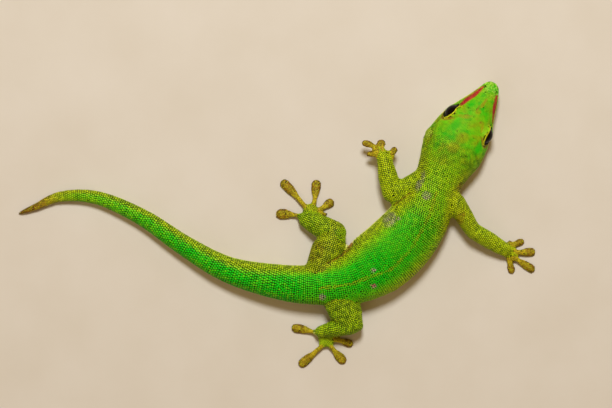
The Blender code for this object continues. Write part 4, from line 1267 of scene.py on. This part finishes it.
def skin_material(name, group, between, gloss):
    material, tree, shader = new_material(name)
    paint, bump = tree.nodes.new("ShaderNodeGroup"), tree.nodes.new("ShaderNodeBump")
    paint.node_tree = group
    paint.inputs["Between"].default_value = between
    sockets = (bump.inputs[word] for word in ("Strength", "Distance", "Height"))
    feed(tree, sockets, (0.5, FINE_RELIEF, noise(tree, "relief")))
    sockets = (shader.inputs[word] for word in ("Base Color", "Roughness", "Normal", "Specular IOR Level"))
    feed(tree, sockets, (paint.outputs["Color"], paint.outputs["Roughness"], bump.outputs["Normal"], gloss))
    return material


def eye_material():
    """A wet eye: round pupil in a dark brown ring of fine rays, which darkens to black at its edge."""
    material, tree, shader = new_material("wet dark eye")
    turn = attribute(tree, "from pupil")
    rays = noise(tree, "rays")
    iris = mix_node(tree, span(tree, rays, 0.35, 0.7), paint_of("iris"), paint_of("iris rays"))
    color = mix_node(tree, span(tree, turn, *PUPIL_EDGE), paint_of("pupil"), iris)
    color = mix_node(tree, span(tree, turn, *IRIS_EDGE), color, paint_of("eye edge"))
    words = ("Base Color", "Roughness", "Specular IOR Level", "Coat Weight", "Coat Roughness")
    feed(tree, (shader.inputs[word] for word in words),
         (color, span(tree, rays, 0.2, 0.8, 0.06, 0.09), 0.06, 0.15, 0.02))
    return material


def floor_material():
    material, tree, shader = new_material("pale matt floor")
    color = mix_node(tree, span(tree, noise(tree, "floor"), 0.3, 0.7), paint_of("floor"), paint_of("floor pale"))
    feed(tree, (shader.inputs["Base Color"], shader.inputs["Roughness"]), (color, 0.9))
    return material


# Eyes, floor, light and camera

def make_eye(side):
    """An eyeball in its socket, with the clear front standing out a little where it looks."""
    centre, look, forward, top = EYES[side]
    bm = bmesh.new()
    turns, levels = EYE_SEGMENTS
    bmesh.ops.create_uvsphere(bm, u_segments=turns, v_segments=levels, radius=EYE_RADIUS + EYE_SWELL)
    for vert in bm.verts:
        turn = math.degrees(math.atan2(vert.co.xy.length, vert.co.z))
        vert.co *= 1 + EYE_BULGE * (1 - smooth(*BULGE_ANGLES, turn))
    turned = Matrix([forward, top, look]).transposed().to_4x4()
    bmesh.ops.transform(bm, matrix=Matrix.Translation(centre) @ turned, verts=bm.verts)
    bmesh.ops.scale(bm, vec=(MM, MM, MM), verts=bm.verts)
    bmesh.ops.recalc_face_normals(bm, faces=bm.faces)
    mesh = mesh_from("eyeball", bm)
    mesh.shade_smooth()
    away = surface_of(mesh)[0] - centre
    set_values(mesh, "from pupil", np.degrees(np.arctan2(np.hypot(away @ forward, away @ top), away @ look)))
    return new_object(f"eyeball_{'left' if side > 0 else 'right'}", mesh)


def make_floor():
    bm = bmesh.new()
    bmesh.ops.create_grid(bm, x_segments=1, y_segments=1, size=FLOOR_SIZE)
    obj = new_object("floor", mesh_from("floor", bm))
    obj.data.materials.append(floor_material())


def light_and_camera():
    scene = bpy.context.scene
    scene.view_settings.view_transform = "Standard"
    scene.world = bpy.data.worlds.new("soft room")
    scene.world.use_nodes = True
    room = scene.world.node_tree.nodes["Background"].inputs
    room["Color"].default_value, room["Strength"].default_value = ROOM_COLOUR, ROOM_STRENGTH
    for name, (place, width, power, color) in LAMPS.items():
        lamp = bpy.data.lights.new(name, "AREA")
        lamp.shape, lamp.size, lamp.energy, lamp.color = "DISK", width, power, color
        obj = new_object(name, lamp)
        obj.location = place
        obj.rotation_euler = (-Vector(place)).to_track_quat("-Z", "Y").to_euler()
    data = bpy.data.cameras.new("camera")
    data.sensor_width, data.lens = SENSOR, SENSOR * CAMERA_HEIGHT / VIEW_WIDTH
    data.clip_start, data.clip_end = 0.05, 10.0
    scene.camera = new_object("camera", data)
    scene.camera.location = (VIEW_MIDDLE[0] * MM, VIEW_MIDDLE[1] * MM, (CAMERA_HEIGHT + BACK_LEVEL) * MM)


# The gecko is put together

chance = np.random.default_rng(7)
group = gecko_paint()

skin = make_skin()
skin_places, skin_normals = surface_of(skin.data)
skin_tree = BVHTree.FromPolygons(skin_places.tolist(), [tuple(q.vertices) for q in skin.data.polygons])
skin_points = tree_of(skin_places)
for word, values in markings(skin_places, *locate(skin_places)[:3]).items():
    set_values(skin.data, word, values)
set_values(skin.data, "rise", np.zeros(len(skin_places)))
set_values(skin.data, "grain", np.full(len(skin_places), 0.5))
skin.data.materials.append(skin_material("gecko skin", group, 1.0, 0.06))
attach(skin, "root")
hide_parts(*[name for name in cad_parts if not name.startswith("eye")])

coat, form = grown_coat(), scale_form()
coat_look = skin_material("gecko scales", group, 0.9, 0.15)
for word, (kinds, begins, ends) in PIECES.items():
    rows = np.isin(STRIP_KIND[coat["strip"]], kinds) & (coat["at"] >= begins) & (coat["at"] < ends)
    piece = stamped("scales_" + word, coat[rows], form)
    piece.data.materials.append(coat_look)
    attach(piece, "root")
bpy.data.meshes.remove(form)

eye_look = eye_material()
for side, word in ((1, "left"), (-1, "right")):
    eye = make_eye(side)
    eye.data.materials.append(eye_look)
    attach(eye, "root")
    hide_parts(f"eye_{word}")

make_floor()
light_and_camera()
